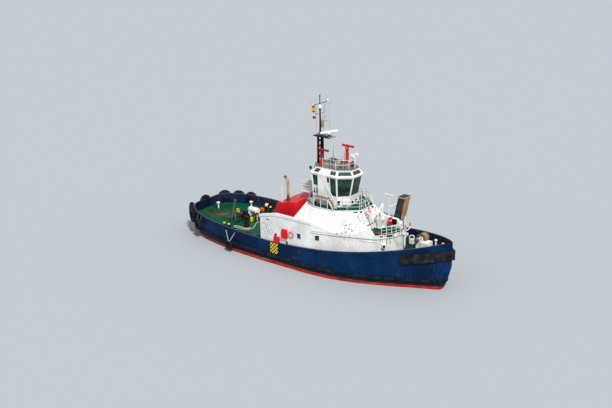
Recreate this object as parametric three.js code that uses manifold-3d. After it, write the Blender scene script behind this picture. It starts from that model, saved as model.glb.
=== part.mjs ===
// Harbour tugboat. Millimetres, +X to the bow, +Y to port, +Z up.
// The origin is on the centreline, amidships, at the waterline.
import * as THREE from "three";
import { mergeVertices } from "three/addons/utils/BufferGeometryUtils.js";
import Module from "manifold-3d";

const wasm = await Module();
wasm.setup();

// Driving dimensions
const HALF_BEAM = 4900;
const BOW_X = 15900;
const STERN_X = -16500;
const DRAUGHT = 3200;
const BULWARK_HEIGHT = 1050;
const BULWARK_PLATE = 120;
const SEAT = 0.3; // gap left where one piece rests on another
const RUN = 0.5; // running gap at a shaft, pin or bearing
const HOUSE_AFT_X = -4200;
const BOAT_DECK_Z = 4600;
const COAMING_TOP_Z = 5450;
const BRIDGE_DECK_Z = 6450;
const SILL_Z = 7450;
const RIM_Z = 9600;
const ROOF_Z = 10100;
const WALL = 60; // wheelhouse plating
const GLASS = 12;
const MAST_TOP_Z = 16900;
const MAST_X = 100;
const THRUSTER_X = -11500;
const THRUSTER_Y = 1950;
const THRUSTER_Z = -3350;
const PROPELLER_R = 1030;
const TYRE_R = 820;
const RAIL_HEIGHT = 1000;
const COAMING_HEIGHT = 240; // low coaming round the fore boat deck
const DOOR_GAP = 5;
const PIN_R = 10;
const WING_Z = 7400;
const FLOOR_Z = 7100; // wheelhouse floor and aft platform
const GLAZED_TOP = RIM_Z - 230;
const PLATFORM_Z = 12950; // mast platform
const YARD_Z = 16200;
const LINE_R = 10;
const BARREL_R = 110;

// Tables
// keel depth along the hull: x, z
const KEEL = [
  [-16400, 500],
  [-15900, -300],
  [-15000, -750],
  [-3000, -DRAUGHT],
  [9000, -DRAUGHT],
  [12000, -2700],
  [13500, -1700],
  [14500, -600],
  [15000, 200],
  [15500, 1400],
  [15900, 2700],
];
const STATIONS = [
  -16340, -16200, -15900, -15400, -14700, -13700, -12300, -10400, -7800, -4000,
  -1000, 2000, 4500, 7000, 9000, 10800, 12300, 13500, 14400, 15000, 15400, 15700, 15850,
];

// Small tools
function solid(geometry) {
  const bare = geometry.clone();
  bare.deleteAttribute("normal");
  bare.deleteAttribute("uv");
  const merged = mergeVertices(bare, 1e-3);
  return new wasm.Manifold(
    new wasm.Mesh({
      numProp: 3,
      vertProperties: merged.attributes.position.array,
      triVerts: new Uint32Array(merged.index.array),
    }),
  );
}

function join(...pieces) {
  return pieces.flat().reduce((a, b) => a.add(b));
}

function mirrored(piece) {
  return piece.mirror([0, 1, 0]);
}

function both(piece) {
  return join(piece, mirrored(piece));
}

// box between two corners
function box(x0, x1, y0, y1, z0, z1) {
  const g = new THREE.BoxGeometry(x1 - x0, y1 - y0, z1 - z0);
  return solid(g.translate((x0 + x1) / 2, (y0 + y1) / 2, (z0 + z1) / 2));
}

// round bar or cone between two points
function rod(p, q, r, sides = 8, rEnd = r) {
  const a = new THREE.Vector3(...p);
  const b = new THREE.Vector3(...q);
  const along = b.clone().sub(a);
  const g = new THREE.CylinderGeometry(rEnd, r, along.length(), sides);
  const turn = new THREE.Quaternion().setFromUnitVectors(
    new THREE.Vector3(0, 1, 0),
    along.clone().normalize(),
  );
  g.applyQuaternion(turn);
  const mid = a.add(b).multiplyScalar(0.5);
  return solid(g.translate(mid.x, mid.y, mid.z));
}

function ball(p, r, around = 10, up = 6) {
  return solid(new THREE.SphereGeometry(r, around, up).translate(...p));
}

// a closed outline of [x, y] points, raised from z0 to z1
function slab(outline, z0, z1) {
  const shape = new THREE.Shape(outline.map(([x, y]) => new THREE.Vector2(x, y)));
  const g = new THREE.ExtrudeGeometry(shape, { depth: z1 - z0, bevelEnabled: false });
  return solid(g.translate(0, 0, z0));
}

// a closed outline of [x, z] points, spread from y0 to y1
function plate(outline, y0, y1) {
  const shape = new THREE.Shape(outline.map(([x, z]) => new THREE.Vector2(x, z)));
  const g = new THREE.ExtrudeGeometry(shape, { depth: y1 - y0, bevelEnabled: false });
  return solid(g.rotateX(Math.PI / 2).translate(0, y1, 0));
}

// skin through rings of equal point count, closed by flat ends
function loft(rings) {
  const n = rings[0].length;
  const position = rings.flat(2);
  const index = [];
  for (let i = 0; i + 1 < rings.length; i++)
    for (let j = 0; j < n; j++) {
      const a = i * n + j;
      const b = i * n + ((j + 1) % n);
      index.push(a, b, b + n, a, b + n, a + n);
    }
  const last = (rings.length - 1) * n;
  for (let j = 1; j + 1 < n; j++) index.push(0, j + 1, j, last, last + j, last + j + 1);
  const g = new THREE.BufferGeometry();
  g.setAttribute("position", new THREE.Float32BufferAttribute(position, 3));
  g.setIndex(index);
  const made = solid(g);
  if (made.volume() > 0) return made;
  g.setIndex(index.map((_, i) => index[i - (i % 3) + 2 - (i % 3)]));
  return solid(g);
}

// half outline of [x, y] points with y > 0, made whole by symmetry
function whole(half) {
  return [...half, ...half.filter(([, y]) => y > 0).reverse().map(([x, y]) => [x, -y])];
}

function between(table, x) {
  const above = table.findIndex(([at]) => at > x);
  const i = above < 0 ? table.length - 1 : Math.max(above, 1);
  const [x0, z0] = table[i - 1];
  const [x1, z1] = table[i];
  return z0 + ((z1 - z0) * (x - x0)) / (x1 - x0);
}

const meshes = [];
function add(name, made, color, options = {}) {
  const m = made.getMesh();
  const g = new THREE.BufferGeometry();
  g.setAttribute("position", new THREE.BufferAttribute(new Float32Array(m.vertProperties), 3));
  g.setIndex(new THREE.BufferAttribute(new Uint32Array(m.triVerts), 1));
  g.computeVertexNormals();
  const material = new THREE.MeshStandardMaterial({ color, flatShading: true, ...options });
  const mesh = new THREE.Mesh(g, material);
  mesh.name = name;
  meshes.push(mesh);
  return made;
}

// Hull
function halfBeam(x, inset) {
  const half = HALF_BEAM - inset;
  if (x < -5000) {
    const t = (-5000 - x) / (-5000 - STERN_X - inset);
    return half * (1 - Math.min(t, 1) ** 2.9) ** (1 / 2.9);
  }
  if (x < 2000) return half;
  const t = (x - 2000) / (BOW_X - 2000 - inset);
  return half * (1 - Math.min(t, 1) ** 2.2) ** 0.85;
}

function bulwarkTop(x) {
  if (x < -4000) return 2350 + (600 * (-4000 - x)) / 11600;
  return 2350 + 2650 * (Math.max(x + 4000, 0) / 20000) ** 1.7;
}

// side points of a station from the top down: y, z
function side(x, inset) {
  const top = bulwarkTop(x) - inset;
  const keel = between(KEEL, x) + inset;
  const fore = Math.max(0, (x - 2000) / 13900);
  const aft = Math.max(0, (-5000 - x) / 11400);
  const b = halfBeam(x, inset);
  const strake = b * (1 - 0.35 * fore ** 2 - 0.06 * aft);
  const water = b * (1 - 0.62 * fore ** 1.8 - 0.24 * aft ** 1.5);
  const z1 = Math.max(1050, keel + 900);
  const z2 = Math.max(0, keel + 450);
  return [
    [b, top],
    [strake, z1],
    [water, z2],
    [water * 0.93, keel + 0.3 * (z2 - keel)],
    [water * 0.62, keel + 0.05 * (z2 - keel)],
    [0, keel],
  ];
}

function hullShape(inset) {
  return loft(
    STATIONS.map((at) => {
      const x = at * (1 - inset / 16100);
      const half = side(x, inset);
      const port = half.map(([y, z]) => [x, y, z]);
      const starboard = half.slice(0, -1).map(([y, z]) => [x, -y, z]).reverse();
      return [...port, ...starboard];
    }),
  );
}

function deckZ(x) {
  return bulwarkTop(x) - BULWARK_HEIGHT;
}

function well() {
  return loft(
    STATIONS.map((at) => {
      const x = at * (1 - BULWARK_PLATE / 16100);
      const [[b, top], [s, low]] = side(x, BULWARK_PLATE);
      const z = deckZ(x);
      const f = (top - z) / (top - low);
      const d = b + f * (s - b);
      return [
        [x, b + (b - d) * 0.2, top + 0.2 * BULWARK_HEIGHT],
        [x, d, z],
        [x, -d, z],
        [x, -b - (b - d) * 0.2, top + 0.2 * BULWARK_HEIGHT],
      ];
    }),
  );
}

const outer = hullShape(0);
const clear = hullShape(-3 * SEAT);
const skeg = plate(
  [[-9200, -1500], [-9000, -3100], [-8600, -3300], [-2500, -3300], [-2500, -2900]],
  -180,
  180,
);
const legSeat = rod([THRUSTER_X, THRUSTER_Y, -900], [THRUSTER_X, THRUSTER_Y, -1950], 800, 20);
const hullWell = well();
const hull = join(outer, skeg, both(legSeat)).subtract(hullWell);
const raised = join(outer, skeg).subtract(hullWell).translate([0, 0, SEAT]);

// a piece whose foot is cut to the deck it stands on
function onDeck(piece) {
  return piece.subtract(raised);
}

// rubbing strake all round the hull
const strakeBand = hullShape(-170).intersect(box(-17000, 17000, -6000, 6000, 800, 1070));
add("rubbing_strake", strakeBand.subtract(clear), 0x111111);

// bow fender
const bowBand = hullShape(-330).intersect(
  plate([[11800, 2700], [16600, 3300], [16600, 4250], [11800, 3650]], -6000, 6000),
);
add("bow_fender", bowBand.subtract(clear), 0x0d0d0d);

// Tyres
function tyre(r, width, sides) {
  const profile = [
    [0.5 * r, -0.4 * width],
    [0.88 * r, -0.5 * width],
    [r, -0.3 * width],
    [r, 0.3 * width],
    [0.88 * r, 0.5 * width],
    [0.5 * r, 0.4 * width],
    [0.5 * r, -0.4 * width],
  ].map(([a, b]) => new THREE.Vector2(a, b));
  return solid(new THREE.LatheGeometry(profile, sides)); // axis along Y
}

// point on the hull's outline and the way out of it
function onOutline(x, hand) {
  if (hand === 0) return { y: 0, out: [-1, 0], x: STERN_X + 160 };
  const slope = (halfBeam(x + 50, 0) - halfBeam(x - 50, 0)) / 100;
  const length = Math.hypot(1, slope);
  return { x, y: hand * halfBeam(x, 0), out: [-slope / length, hand / length] };
}

// tyres round the stern: x, hand, height of the middle, share of the full radius
const STERN_TYRES = [
  [-13500, -1, 1700, 0.68],
  [-14800, -1, 2350, 1],
  [-15900, -1, 2450, 1],
  [0, 0, 2500, 1],
  [-15900, 1, 2450, 1],
  [-14800, 1, 2450, 1],
  [-13500, 1, 2350, 0.9],
];

function sternTyres() {
  const tyres = STERN_TYRES.map(([at, hand, z, share]) => {
    const { x, y, out } = onOutline(at, hand);
    const off = 290;
    const turn = (Math.atan2(out[1], out[0]) * 180) / Math.PI - 90;
    const made = tyre(TYRE_R * share, 400, 16).rotate([0, 0, turn]);
    return made.translate([x + out[0] * off, y + out[1] * off, z]);
  });
  const band = hullShape(-230).intersect(box(-17000, -13100, -6000, 6000, 1850, 2050));
  return join(band, tyres).subtract(clear).subtract(hullWell);
}
add("stern_tyres", sternTyres(), 0x151515);

// one tyre hung on two chains at each side
function sideTyre(hand) {
  const x = -8300;
  const y = -halfBeam(x, 0) - 310;
  const ring = tyre(490, 300, 18).translate([x, y, 760]);
  const chains = [-1, 1].map((s) =>
    rod([x + s * 60, y - 20, 1150], [x + s * 620, y + 330, 2230], 26, 5),
  );
  const made = join(ring, chains);
  const strakeClear = hullShape(-171).intersect(box(-9500, -7000, -6000, 6000, 799, 1071));
  return (hand < 0 ? made : mirrored(made)).subtract(clear).subtract(strakeClear);
}
add("side_tyre_starboard", sideTyre(-1), 0x171717);
add("side_tyre_port", sideTyre(1), 0x171717);

// Deckhouse
const houseOutline = whole([
  [HOUSE_AFT_X, 4690],
  [2500, 4690],
  [5200, 3900],
  [8800, 2480],
  [9750, 1150],
  [10050, 0],
]);
const sidePlate = join(
  plate(
    [[HOUSE_AFT_X, 3900], [HOUSE_AFT_X, 4850], [-2150, 5250], [2500, 5250], [2500, 3900]],
    4450,
    4690,
  ),
  plate(
    [
      [HOUSE_AFT_X - 30, 4760],
      [HOUSE_AFT_X - 30, 4960],
      [-2150, COAMING_TOP_Z],
      [2500, COAMING_TOP_Z],
      [2500, 5220],
      [-2150, 5220],
    ],
    4390,
    4750,
  ),
);
// hinge of a door: a pin on a lug beside the door's edge, at each of two heights
function hinge(wallX, y, hand, levels) {
  const lug = [y + hand * 8, y + hand * 28].sort((a, b) => a - b);
  return levels.map((z) =>
    join(
      rod([wallX - 50, y, z - 60], [wallX - 50, y, z + 60], PIN_R, 8),
      box(wallX - 58, wallX + 5, ...lug, z - 60, z + 60),
    ),
  );
}
const lobby = box(HOUSE_AFT_X - 100, HOUSE_AFT_X + 700, -1650, -850, 1600, 3500);
const house = onDeck(join(slab(houseOutline, 500, 4450), both(sidePlate))).subtract(lobby);
const aftHinge = hinge(HOUSE_AFT_X, -1700 - PIN_R - RUN, -1, [2000, 3100]);
add("deckhouse", join(house, aftHinge), 0xe9e9e4);

// aft door of the deckhouse, hinged on its outer edge
const aftDoor = join(
  box(HOUSE_AFT_X - DOOR_GAP - 45, HOUSE_AFT_X - DOOR_GAP, -1700, -800, 1550, 3550),
  rod([HOUSE_AFT_X - 50, -950, 2500], [HOUSE_AFT_X - 110, -950, 2500], 25, 6),
  rod([HOUSE_AFT_X - 105, -950, 2500], [HOUSE_AFT_X - 105, -1080, 2500], 14, 6),
);
add("deckhouse_door", aftDoor, 0xe4e4df);

const deckEdge = [[2650, 4760], [5260, 3990], [8860, 2570], [9830, 1210], [10150, 0]];
const boatDeck = slab(
  whole([[HOUSE_AFT_X, 4449], [2501, 4449], [2501, 4760], ...deckEdge]),
  4450 + SEAT,
  BOAT_DECK_Z,
);
// side plate running out forward, and the low coaming round the front
function upright(x, y0, y1, top) {
  return [[x, y0, 4500], [x, y1, 4500], [x, y1, top], [x, y0, top]];
}
const runOut = loft([
  upright(2501, 4480, 4720, COAMING_TOP_Z),
  upright(5000, 3830, 4030, BOAT_DECK_Z + 40),
]);
const insideEdge = deckEdge.map(([x, y]) => [x - 40, y * 0.975]);
const coaming = slab(whole(deckEdge), BOAT_DECK_Z - 20, BOAT_DECK_Z + COAMING_HEIGHT)
  .subtract(slab(whole(insideEdge), BOAT_DECK_Z - 50, BOAT_DECK_Z + 2 * COAMING_HEIGHT))
  .subtract(box(-5000, 5200, -6000, 6000, 4000, 6000));
add("boat_deck", join(boatDeck, both(runOut), coaming), 0x1f6b4a);

const onBoatDeck = BOAT_DECK_Z + SEAT;
const casing = plate(
  [[-4000, onBoatDeck], [-3450, 5850], [-1500, 6250], [-1150, 6250], [-1150, onBoatDeck]],
  -2800,
  2800,
);
function casingTop(x) {
  return 5850 + ((x + 3450) / 1950) * 400;
}

function exhaustPipe() {
  const [x, y] = [-2600, -2050];
  const foot = casingTop(x);
  const pipe = join(
    rod([x, y, foot - 80], [x, y, 8100], 150, 10),
    ball([x, y, 8100], 152, 10, 6),
    rod([x, y, 8100], [x - 380, y, 8620], 150, 10),
    rod([x, y, foot - 80], [x, y, foot + 160], 210, 10),
  );
  return pipe.subtract(casing.translate([0, 0, SEAT]));
}
const pipe = exhaustPipe();
add("exhaust_pipe_starboard", pipe, 0xb9a58c);
add("exhaust_pipe_port", mirrored(pipe), 0xb9a58c);
const pole = rod([-2950, -2620, 5800], [-2950, -2620, 7850], 55, 8);
add("exhaust_casing", join(casing, pole), 0xb5121b);

// Tower under the bridge deck
function ring(half, z) {
  return whole(half).map(([x, y]) => [x, y, z]);
}
const towerTopZ = BRIDGE_DECK_Z - 150;
const tower = loft([
  ring([[-1000, 2300], [-700, 4370], [2400, 4370], [5000, 3700], [6880, 2950]], onBoatDeck),
  ring([[-600, 1250], [1250, 2680], [2500, 2680], [3880, 2640], [5800, 1110]], towerTopZ),
]);
const gusset = loft([
  [[6300, 2900, onBoatDeck], [8740, 2440, onBoatDeck], [7900, 2290, 5450], [6300, 2100, 5750]],
  [[6300, 2960, onBoatDeck], [8740, 2500, onBoatDeck], [7900, 2350, 5450], [6300, 2160, 5750]],
]);
add("tower", join(tower, mirrored(gusset)), 0xebebe6);

const bridgeSlab = slab(
  whole([[-700, 1300], [100, 2100], [1300, 2740], [3880, 2700], [5850, 1150]]),
  towerTopZ + SEAT,
  BRIDGE_DECK_Z,
);
// raised wing beside the wheelhouse, on posts, with a short stair at its fore end
const WING_POSTS = [[1280, 2690], [2150, 2690], [2990, 2690], [1280, 2150], [2990, 2150]];
const stringer = [
  [3000, WING_Z - 60],
  [3000, WING_Z],
  [3080, WING_Z],
  [3760, BRIDGE_DECK_Z - 20],
  [3620, BRIDGE_DECK_Z - 20],
];
// plate that rises along the deck's aft edge to the wing
const wingPlate = loft(
  [0, 40].map((in_) => {
    const [ax, ay] = [-600 + in_ * 0.58, 1375 - in_ * 0.81];
    const [bx, by] = [1270 + in_ * 0.58, 2715 - in_ * 0.81];
    const foot = BRIDGE_DECK_Z - 20;
    return [[ax, ay, foot], [bx, by, foot], [bx, by, WING_Z - 20], [ax, ay, foot + 130]];
  }),
);
const wing = join(
  box(1210, 3060, 2090, 2760, WING_Z - 60, WING_Z),
  WING_POSTS.map(([x, y]) => rod([x, y, BRIDGE_DECK_Z - 20], [x, y, WING_Z - 30], 35, 6)),
  [2130, 2620].map((y) => plate(stringer, y, y + 40)),
  [0.2, 0.45, 0.7].map((f) =>
    box(3010 + f * 640, 3250 + f * 640, 2150, 2640, WING_Z - f * 950 - 40, WING_Z - f * 950),
  ),
  wingPlate,
);
add("bridge_deck", join(bridgeSlab, both(wing)), 0x1f6b4a);

// Wheelhouse
const RINGS = [
  [BRIDGE_DECK_Z + SEAT, [[-350, 650], [450, 1700], [3450, 1700], [4250, 700]]],
  [SILL_Z, [[-350, 650], [400, 1750], [3500, 1750], [4370, 750]]],
  [RIM_Z, [[-350, 700], [280, 1900], [3520, 1870], [4850, 780]]],
  [ROOF_Z, [[-150, 560], [650, 1450], [3370, 1450], [4450, 640]]],
];

// outline of the wheelhouse at a height, moved inwards by an inset
function cabin(z, inset) {
  const above = RINGS.findIndex(([at]) => at >= z);
  const i = above < 0 ? RINGS.length - 1 : Math.max(above, 1);
  const [z0, low] = RINGS[i - 1];
  const [z1, high] = RINGS[i];
  const f = (z - z0) / (z1 - z0);
  return low.map(([x, y], k) => {
    const px = x + f * (high[k][0] - x);
    const py = y + f * (high[k][1] - y);
    return [px + (k < 2 ? inset : -inset), py - inset * (k === 0 || k === 3 ? 0.45 : 1)];
  });
}

function cabinShell(heights, inset) {
  return loft(heights.map((z) => ring(cabin(z, inset), z)));
}

// window opening between two corners of the half outline: heights and side margins
function windowCut(k0, k1, z0, z1, f0, f1, hand) {
  const corner = (z, f, inset) => {
    const at = whole(cabin(z, inset));
    const [ax, ay] = at[k0];
    const [bx, by] = at[k1];
    return [ax + f * (bx - ax), hand * (ay + f * (by - ay)), z];
  };
  const quad = (inset) => [
    corner(z0, f0, inset),
    corner(z0, f1, inset),
    corner(z1, f1, inset),
    corner(z1, f0, inset),
  ];
  return loft([quad(-160), quad(220)]);
}
// corner from, corner to, low, high, share from, share to
const WINDOWS = [
  [0, 1, SILL_Z + 850, GLAZED_TOP, 0.12, 0.9],
  [1, 2, SILL_Z + 850, GLAZED_TOP, 0.04, 0.27],
  [1, 2, 8850, GLAZED_TOP, 0.62, 0.71],
  [1, 2, SILL_Z + 60, GLAZED_TOP, 0.745, 0.965],
  [2, 3, SILL_Z + 60, GLAZED_TOP, 0.05, 0.95],
  [0, 1, RIM_Z + 90, ROOF_Z - 90, 0.12, 0.88],
  [1, 2, RIM_Z + 90, ROOF_Z - 90, 0.05, 0.27],
  [1, 2, RIM_Z + 90, ROOF_Z - 90, 0.72, 0.95],
  [2, 3, RIM_Z + 90, ROOF_Z - 90, 0.08, 0.92],
];
const FRONT = [
  [SILL_Z + 60, GLAZED_TOP, 0.06, 0.94],
  [RIM_Z + 90, ROOF_Z - 90, 0.08, 0.92],
];
const cuts = WINDOWS.flatMap((w) => [windowCut(...w, 1), windowCut(...w, -1)]);
cuts.push(...FRONT.map((w) => windowCut(3, 4, ...w, 1)));
const doorHole = box(-700, 100, -340, 340, FLOOR_Z + 60, 9000);
const heights = RINGS.map(([z]) => z);
const rimBand = loft([
  ring(cabin(RIM_Z - 130, -50), RIM_Z - 130),
  ring(cabin(RIM_Z, -50), RIM_Z),
]);
const SHELL_Z = [6000, SILL_Z, RIM_Z, 10200];
const cabinInside = cabinShell(SHELL_Z, WALL);
const trunk = box(1310, 2250, 1650, 2060, BRIDGE_DECK_Z + SEAT, RIM_Z - 20);
const walls = cuts.reduce(
  (w, c) => w.subtract(c),
  join(cabinShell(heights, 0), rimBand, both(trunk)).subtract(cabinInside).subtract(doorHole),
);
const cabinHinge = hinge(-350, 390 + PIN_R + RUN, 1, [7500, 8700]);
add("wheelhouse_walls", join(walls, cabinHinge), 0xf0f0ec);

const glassBand = cabinShell(SHELL_Z, WALL + SEAT)
  .intersect(box(-2000, 6000, -3000, 3000, SILL_Z + 5, ROOF_Z - 30))
  .subtract(cabinShell(SHELL_Z, WALL + SEAT + GLASS))
  .subtract(box(-900, 60, -480, 480, 6000, 9300));
add("wheelhouse_glass", glassBand, 0x274038, { transparent: true, opacity: 0.45 });
const roofZ = ROOF_Z + SEAT;
const roofTop = ROOF_Z + 70;
add("wheelhouse_roof", slab(whole(cabin(ROOF_Z, -40)), roofZ, roofTop), 0xd9d9d2);

const floorSlab = cabinShell(SHELL_Z, WALL + 2).intersect(
  box(-2000, 6000, -3000, 3000, FLOOR_Z - 60, FLOOR_Z),
);
const floorLegs = [[300, -900], [300, 900], [3300, -900], [3300, 900]].map(([x, y]) =>
  rod([x, y, BRIDGE_DECK_Z + SEAT], [x, y, FLOOR_Z - 30], 60, 8),
);
const onFloor = FLOOR_Z + SEAT;
const deskSide = [
  [2950, FLOOR_Z - 10],
  [2750, 8000],
  [2700, 8150],
  [3250, 8320],
  [3450, 8200],
  [3500, FLOOR_Z - 10],
];
const desk = plate(deskSide, -850, 850);

// chair that turns on its pedestal
const CHAIR = [1900, 0];
const chairFoot = join(
  rod([CHAIR[0], 0, FLOOR_Z - 10], [CHAIR[0], 0, onFloor + 40], 260, 12),
  rod([CHAIR[0], 0, onFloor + 20], [CHAIR[0], 0, 7560], 60, 10),
);
add("helm_station", join(floorSlab, floorLegs, desk, chairFoot), 0x30343a);
const chair = join(
  box(CHAIR[0] - 260, CHAIR[0] + 260, -260, 260, 7560 + RUN, 7680),
  box(CHAIR[0] - 320, CHAIR[0] - 190, -240, 240, 7600, 8420),
  both(box(CHAIR[0] - 220, CHAIR[0] + 180, 258, 320, 7640, 7900)),
);
add("helm_chair", chair, 0x22252b);

// wheelhouse door on the aft face, hinged on its port edge
const cabinDoor = join(
  box(-400, -350 - DOOR_GAP, -390, 390, FLOOR_Z + 30, 9040),
  rod([-395, -290, 8100], [-450, -290, 8100], 20, 6),
  rod([-447, -290, 8100], [-447, -190, 8100], 12, 6),
).subtract(box(-500, -300, -230, 230, 8150, 8850));
add("wheelhouse_door", cabinDoor, 0xe6e6e0);

// Railings: bars along a path of [x, y, z] feet, posts at each point and between
function railing(feet, height, rows, step, r = 21) {
  const parts = [];
  for (let i = 1; i < feet.length; i++) {
    const [a, b] = [feet[i - 1], feet[i]];
    const lift = (p, h) => [p[0], p[1], p[2] + h];
    for (let k = 1; k <= rows; k++)
      parts.push(rod(lift(a, (height * k) / rows), lift(b, (height * k) / rows), r, 4));
    const length = Math.hypot(b[0] - a[0], b[1] - a[1]);
    const n = Math.max(1, Math.round(length / step));
    for (let k = i === 1 ? 0 : 1; k <= n; k++) {
      const p = a.map((v, c) => v + ((b[c] - v) * k) / n);
      parts.push(rod(p, lift(p, height + 8), r + 3, 4));
    }
  }
  return join(parts);
}
const onBridge = BRIDGE_DECK_Z + SEAT;
const bridgeRail = railing(
  [[3860, 2640], [5790, 1120], [5790, 480]].map(([x, y]) => [x, y, onBridge]),
  RAIL_HEIGHT,
  3,
  1300,
);
add("bridge_rail_port", bridgeRail, 0xdcdcd6);
add("bridge_rail_starboard", mirrored(bridgeRail), 0xdcdcd6);

const platformZ = FLOOR_Z;
const platformEdge = [[-520, 1150], [-1450, 1150], [-1450, -1150], [-520, -1150]];
const platformRail = railing(
  platformEdge.map(([x, y]) => [x, y, platformZ - 10]),
  RAIL_HEIGHT,
  3,
  1200,
);
const platformFeet = [[-520, 1100], [-520, -1100]].map(([x, y]) =>
  rod([x, y, onBridge], [x, y, platformZ - 20], 35, 6),
);
const brackets = [[-1400, 900], [-1400, -900]].map(([x, y]) =>
  rod([x, y, platformZ - 30], [-640, y, onBridge], 30, 6),
);
const platformSlab = box(-1500, -460, -1200, 1200, platformZ - 60, platformZ);
const underBridge = box(-2000, 2000, -2000, 2000, 6000, onBridge);
const cutBrackets = brackets.map((b) => b.subtract(underBridge));
add("aft_platform", join(platformSlab, platformRail, platformFeet, cutBrackets), 0xdcdcd6);

function ladder(foot, top, half, rungs) {
  const at = (f, y) => foot.map((v, c) => v + f * (top[c] - v) + (c === 1 ? y : 0));
  const parts = [rod(at(0, -half), at(1, -half), 28, 4), rod(at(0, half), at(1, half), 28, 4)];
  for (let i = 1; i <= rungs; i++) {
    const f = (i - 0.5) / rungs;
    parts.push(rod(at(f, -half), at(f, half), 18, 4));
  }
  return join(parts);
}
const ladderClip = box(5000, 9000, -2000, 2000, onBoatDeck, 9000);
add(
  "bridge_ladder",
  ladder([7150, -500, 4560], [6080, -500, 7450], 230, 9).intersect(ladderClip),
  0xdcdcd6,
);

const onRoof = roofTop + SEAT;
const roofEdge = [[300, 1440], [3080, 1440], [4080, 560], [4080, -560], [3080, -1440], [1500, -1440]];
const roofRail = railing(
  roofEdge.map(([x, y]) => [x, y, onRoof]),
  950,
  2,
  1450,
);

// Mast with its platform, yard and lines
const LINE_TOP_Y = 850;
const LINE_FOOT_Y = 500;
const mast = join(
  both(rod([MAST_X, 360, onRoof], [MAST_X, 360, PLATFORM_Z], 120, 8)),
  both(rod([MAST_X - 170, 250, onRoof], [MAST_X - 60, 250, PLATFORM_Z - 20], 90, 8)),
  [10700, 11250, 11800, 12350].map((z) => box(MAST_X - 160, MAST_X + 40, -380, 380, z, z + 120)),
  box(MAST_X - 550, MAST_X + 1500, -520, 520, PLATFORM_Z - 60, PLATFORM_Z),
  rod([MAST_X, 0, PLATFORM_Z - 30], [MAST_X, 0, MAST_TOP_Z], 105, 8, 55),
  rod([MAST_X, 0, MAST_TOP_Z - 60], [MAST_X, 0, MAST_TOP_Z + 160], 70, 8),
  rod([MAST_X, -1300, YARD_Z], [MAST_X, 1300, YARD_Z], 32, 6),
  rod([MAST_X, -650, 15200], [MAST_X, 650, 15200], 24, 6),
  rod([MAST_X, 0, 15560], [MAST_X, 0, 15940], 130, 10),
  both(rod([MAST_X, LINE_TOP_Y, YARD_Z], [MAST_X, LINE_FOOT_Y, PLATFORM_Z - 30], LINE_R, 4)),
  both(rod([MAST_X, 640, 15200], [MAST_X, 640, 16200], 14, 4)),
  rod([MAST_X + 1100, 0, PLATFORM_Z - 30], [MAST_X + 1100, 0, 13220], 130, 10),
  both(rod([MAST_X, 1280, YARD_Z - 10], [MAST_X, 1280, YARD_Z + 420], 14, 4)),
);
add("mast", mast.intersect(box(-5000, 5000, -3000, 3000, onRoof, 20000)), 0x33201f);
const RADAR = [MAST_X + 1100, 0, 13220 + RUN];
const scanner = join(
  rod(RADAR, [RADAR[0], 0, 13400], 170, 10),
  box(RADAR[0] - 90, RADAR[0] + 90, -980, 980, 13380, 13560),
).translate([-RADAR[0], 0, 0]).rotate([0, 0, -23]).translate([RADAR[0], 0, 0]);
add("radar_scanner", scanner, 0xf2f2f0);

// flags on the starboard line: height of the top, drop
function flag(top, drop) {
  const [fly, hoist] = [MAST_X - 380, MAST_X - LINE_R - SEAT];
  return loft(
    [top - drop, top].map((z) => {
      const f = (YARD_Z - z) / (YARD_Z - PLATFORM_Z + 30);
      const y = -LINE_TOP_Y + f * (LINE_TOP_Y - LINE_FOOT_Y);
      return [[fly, y - 5, z], [hoist, y - 5, z], [hoist, y + 5, z], [fly, y + 5, z]];
    }),
  );
}
add("flag_upper", flag(16080, 680), 0xd9a514);
add("flag_lower", flag(15300, 560), 0xc9c9c9);

const whip = join(
  rod([2450, 850, onRoof], [2450, 850, onRoof + 60], 90, 8),
  rod([2450, 850, onRoof + 30], [2410, 1350, 16900], 24, 6, 12),
);
add("whip_antenna", whip, 0xcfd4d4);

// Fire monitors: x, y, height of the barrel, name
const MONITORS = [
  [3180, 350, 12270, "fore"],
  [1050, -1000, 11820, "aft"],
];
const RED = 0xc01018;
for (const [x, y, axis, name] of MONITORS) {
  const top = axis - 450;
  const riser = join(
    rod([x, y, onRoof], [x, y, onRoof + 60], 290, 12),
    rod([x, y, onRoof + 40], [x, y, onRoof + 750], 250, 12, 165),
    rod([x, y, onRoof + 730], [x, y, top], 150, 12),
  );
  add("monitor_riser_" + name, riser, RED);
  const fork = join(
    rod([x, y, top + RUN], [x, y, top + 70], 190, 12),
    box(x - 80, x + 80, y - 190, y - 150, top + 40, axis + 80),
    box(x - 80, x + 80, y + 150, y + 190, top + 40, axis + 80),
  );
  add("monitor_fork_" + name, fork, RED);
  const barrel = join(
    rod([x, y - 150 + RUN, axis], [x, y + 150 - RUN, axis], 120, 12),
    rod([x - 480, y, axis], [x + 650, y, axis], BARREL_R, 10),
    rod([x + 640, y, axis], [x + 800, y, axis], BARREL_R, 10, 135),
    rod([x - 560, y, axis], [x - 450, y, axis], 130, 10),
  );
  add("monitor_barrel_" + name, barrel, RED);
}

// Searchlights on one shaft
const LIGHT = [4040, 400, 11420];
const [lightX, lightY, lightZ] = LIGHT;
const lightStand = join(
  rod([lightX + 40, lightY, onRoof], [lightX + 40, lightY, lightZ - 60], 40, 8),
  box(lightX - 60, lightX + 70, lightY - 70, lightY + 70, lightZ - 90, lightZ - 34 - RUN),
);
add("roof_rail", join(roofRail, lightStand), 0xcfcfc8);
const lamps = [-330, 330].map((dy) =>
  rod([lightX - 150, lightY + dy, lightZ], [lightX + 170, lightY + dy, lightZ], 150, 14, 190),
);
const lampShaft = rod([lightX, lightY - 330, lightZ], [lightX, lightY + 330, lightZ], 34, 8);
add("searchlights", join(lampShaft, lamps), 0xe8e8e6);

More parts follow.
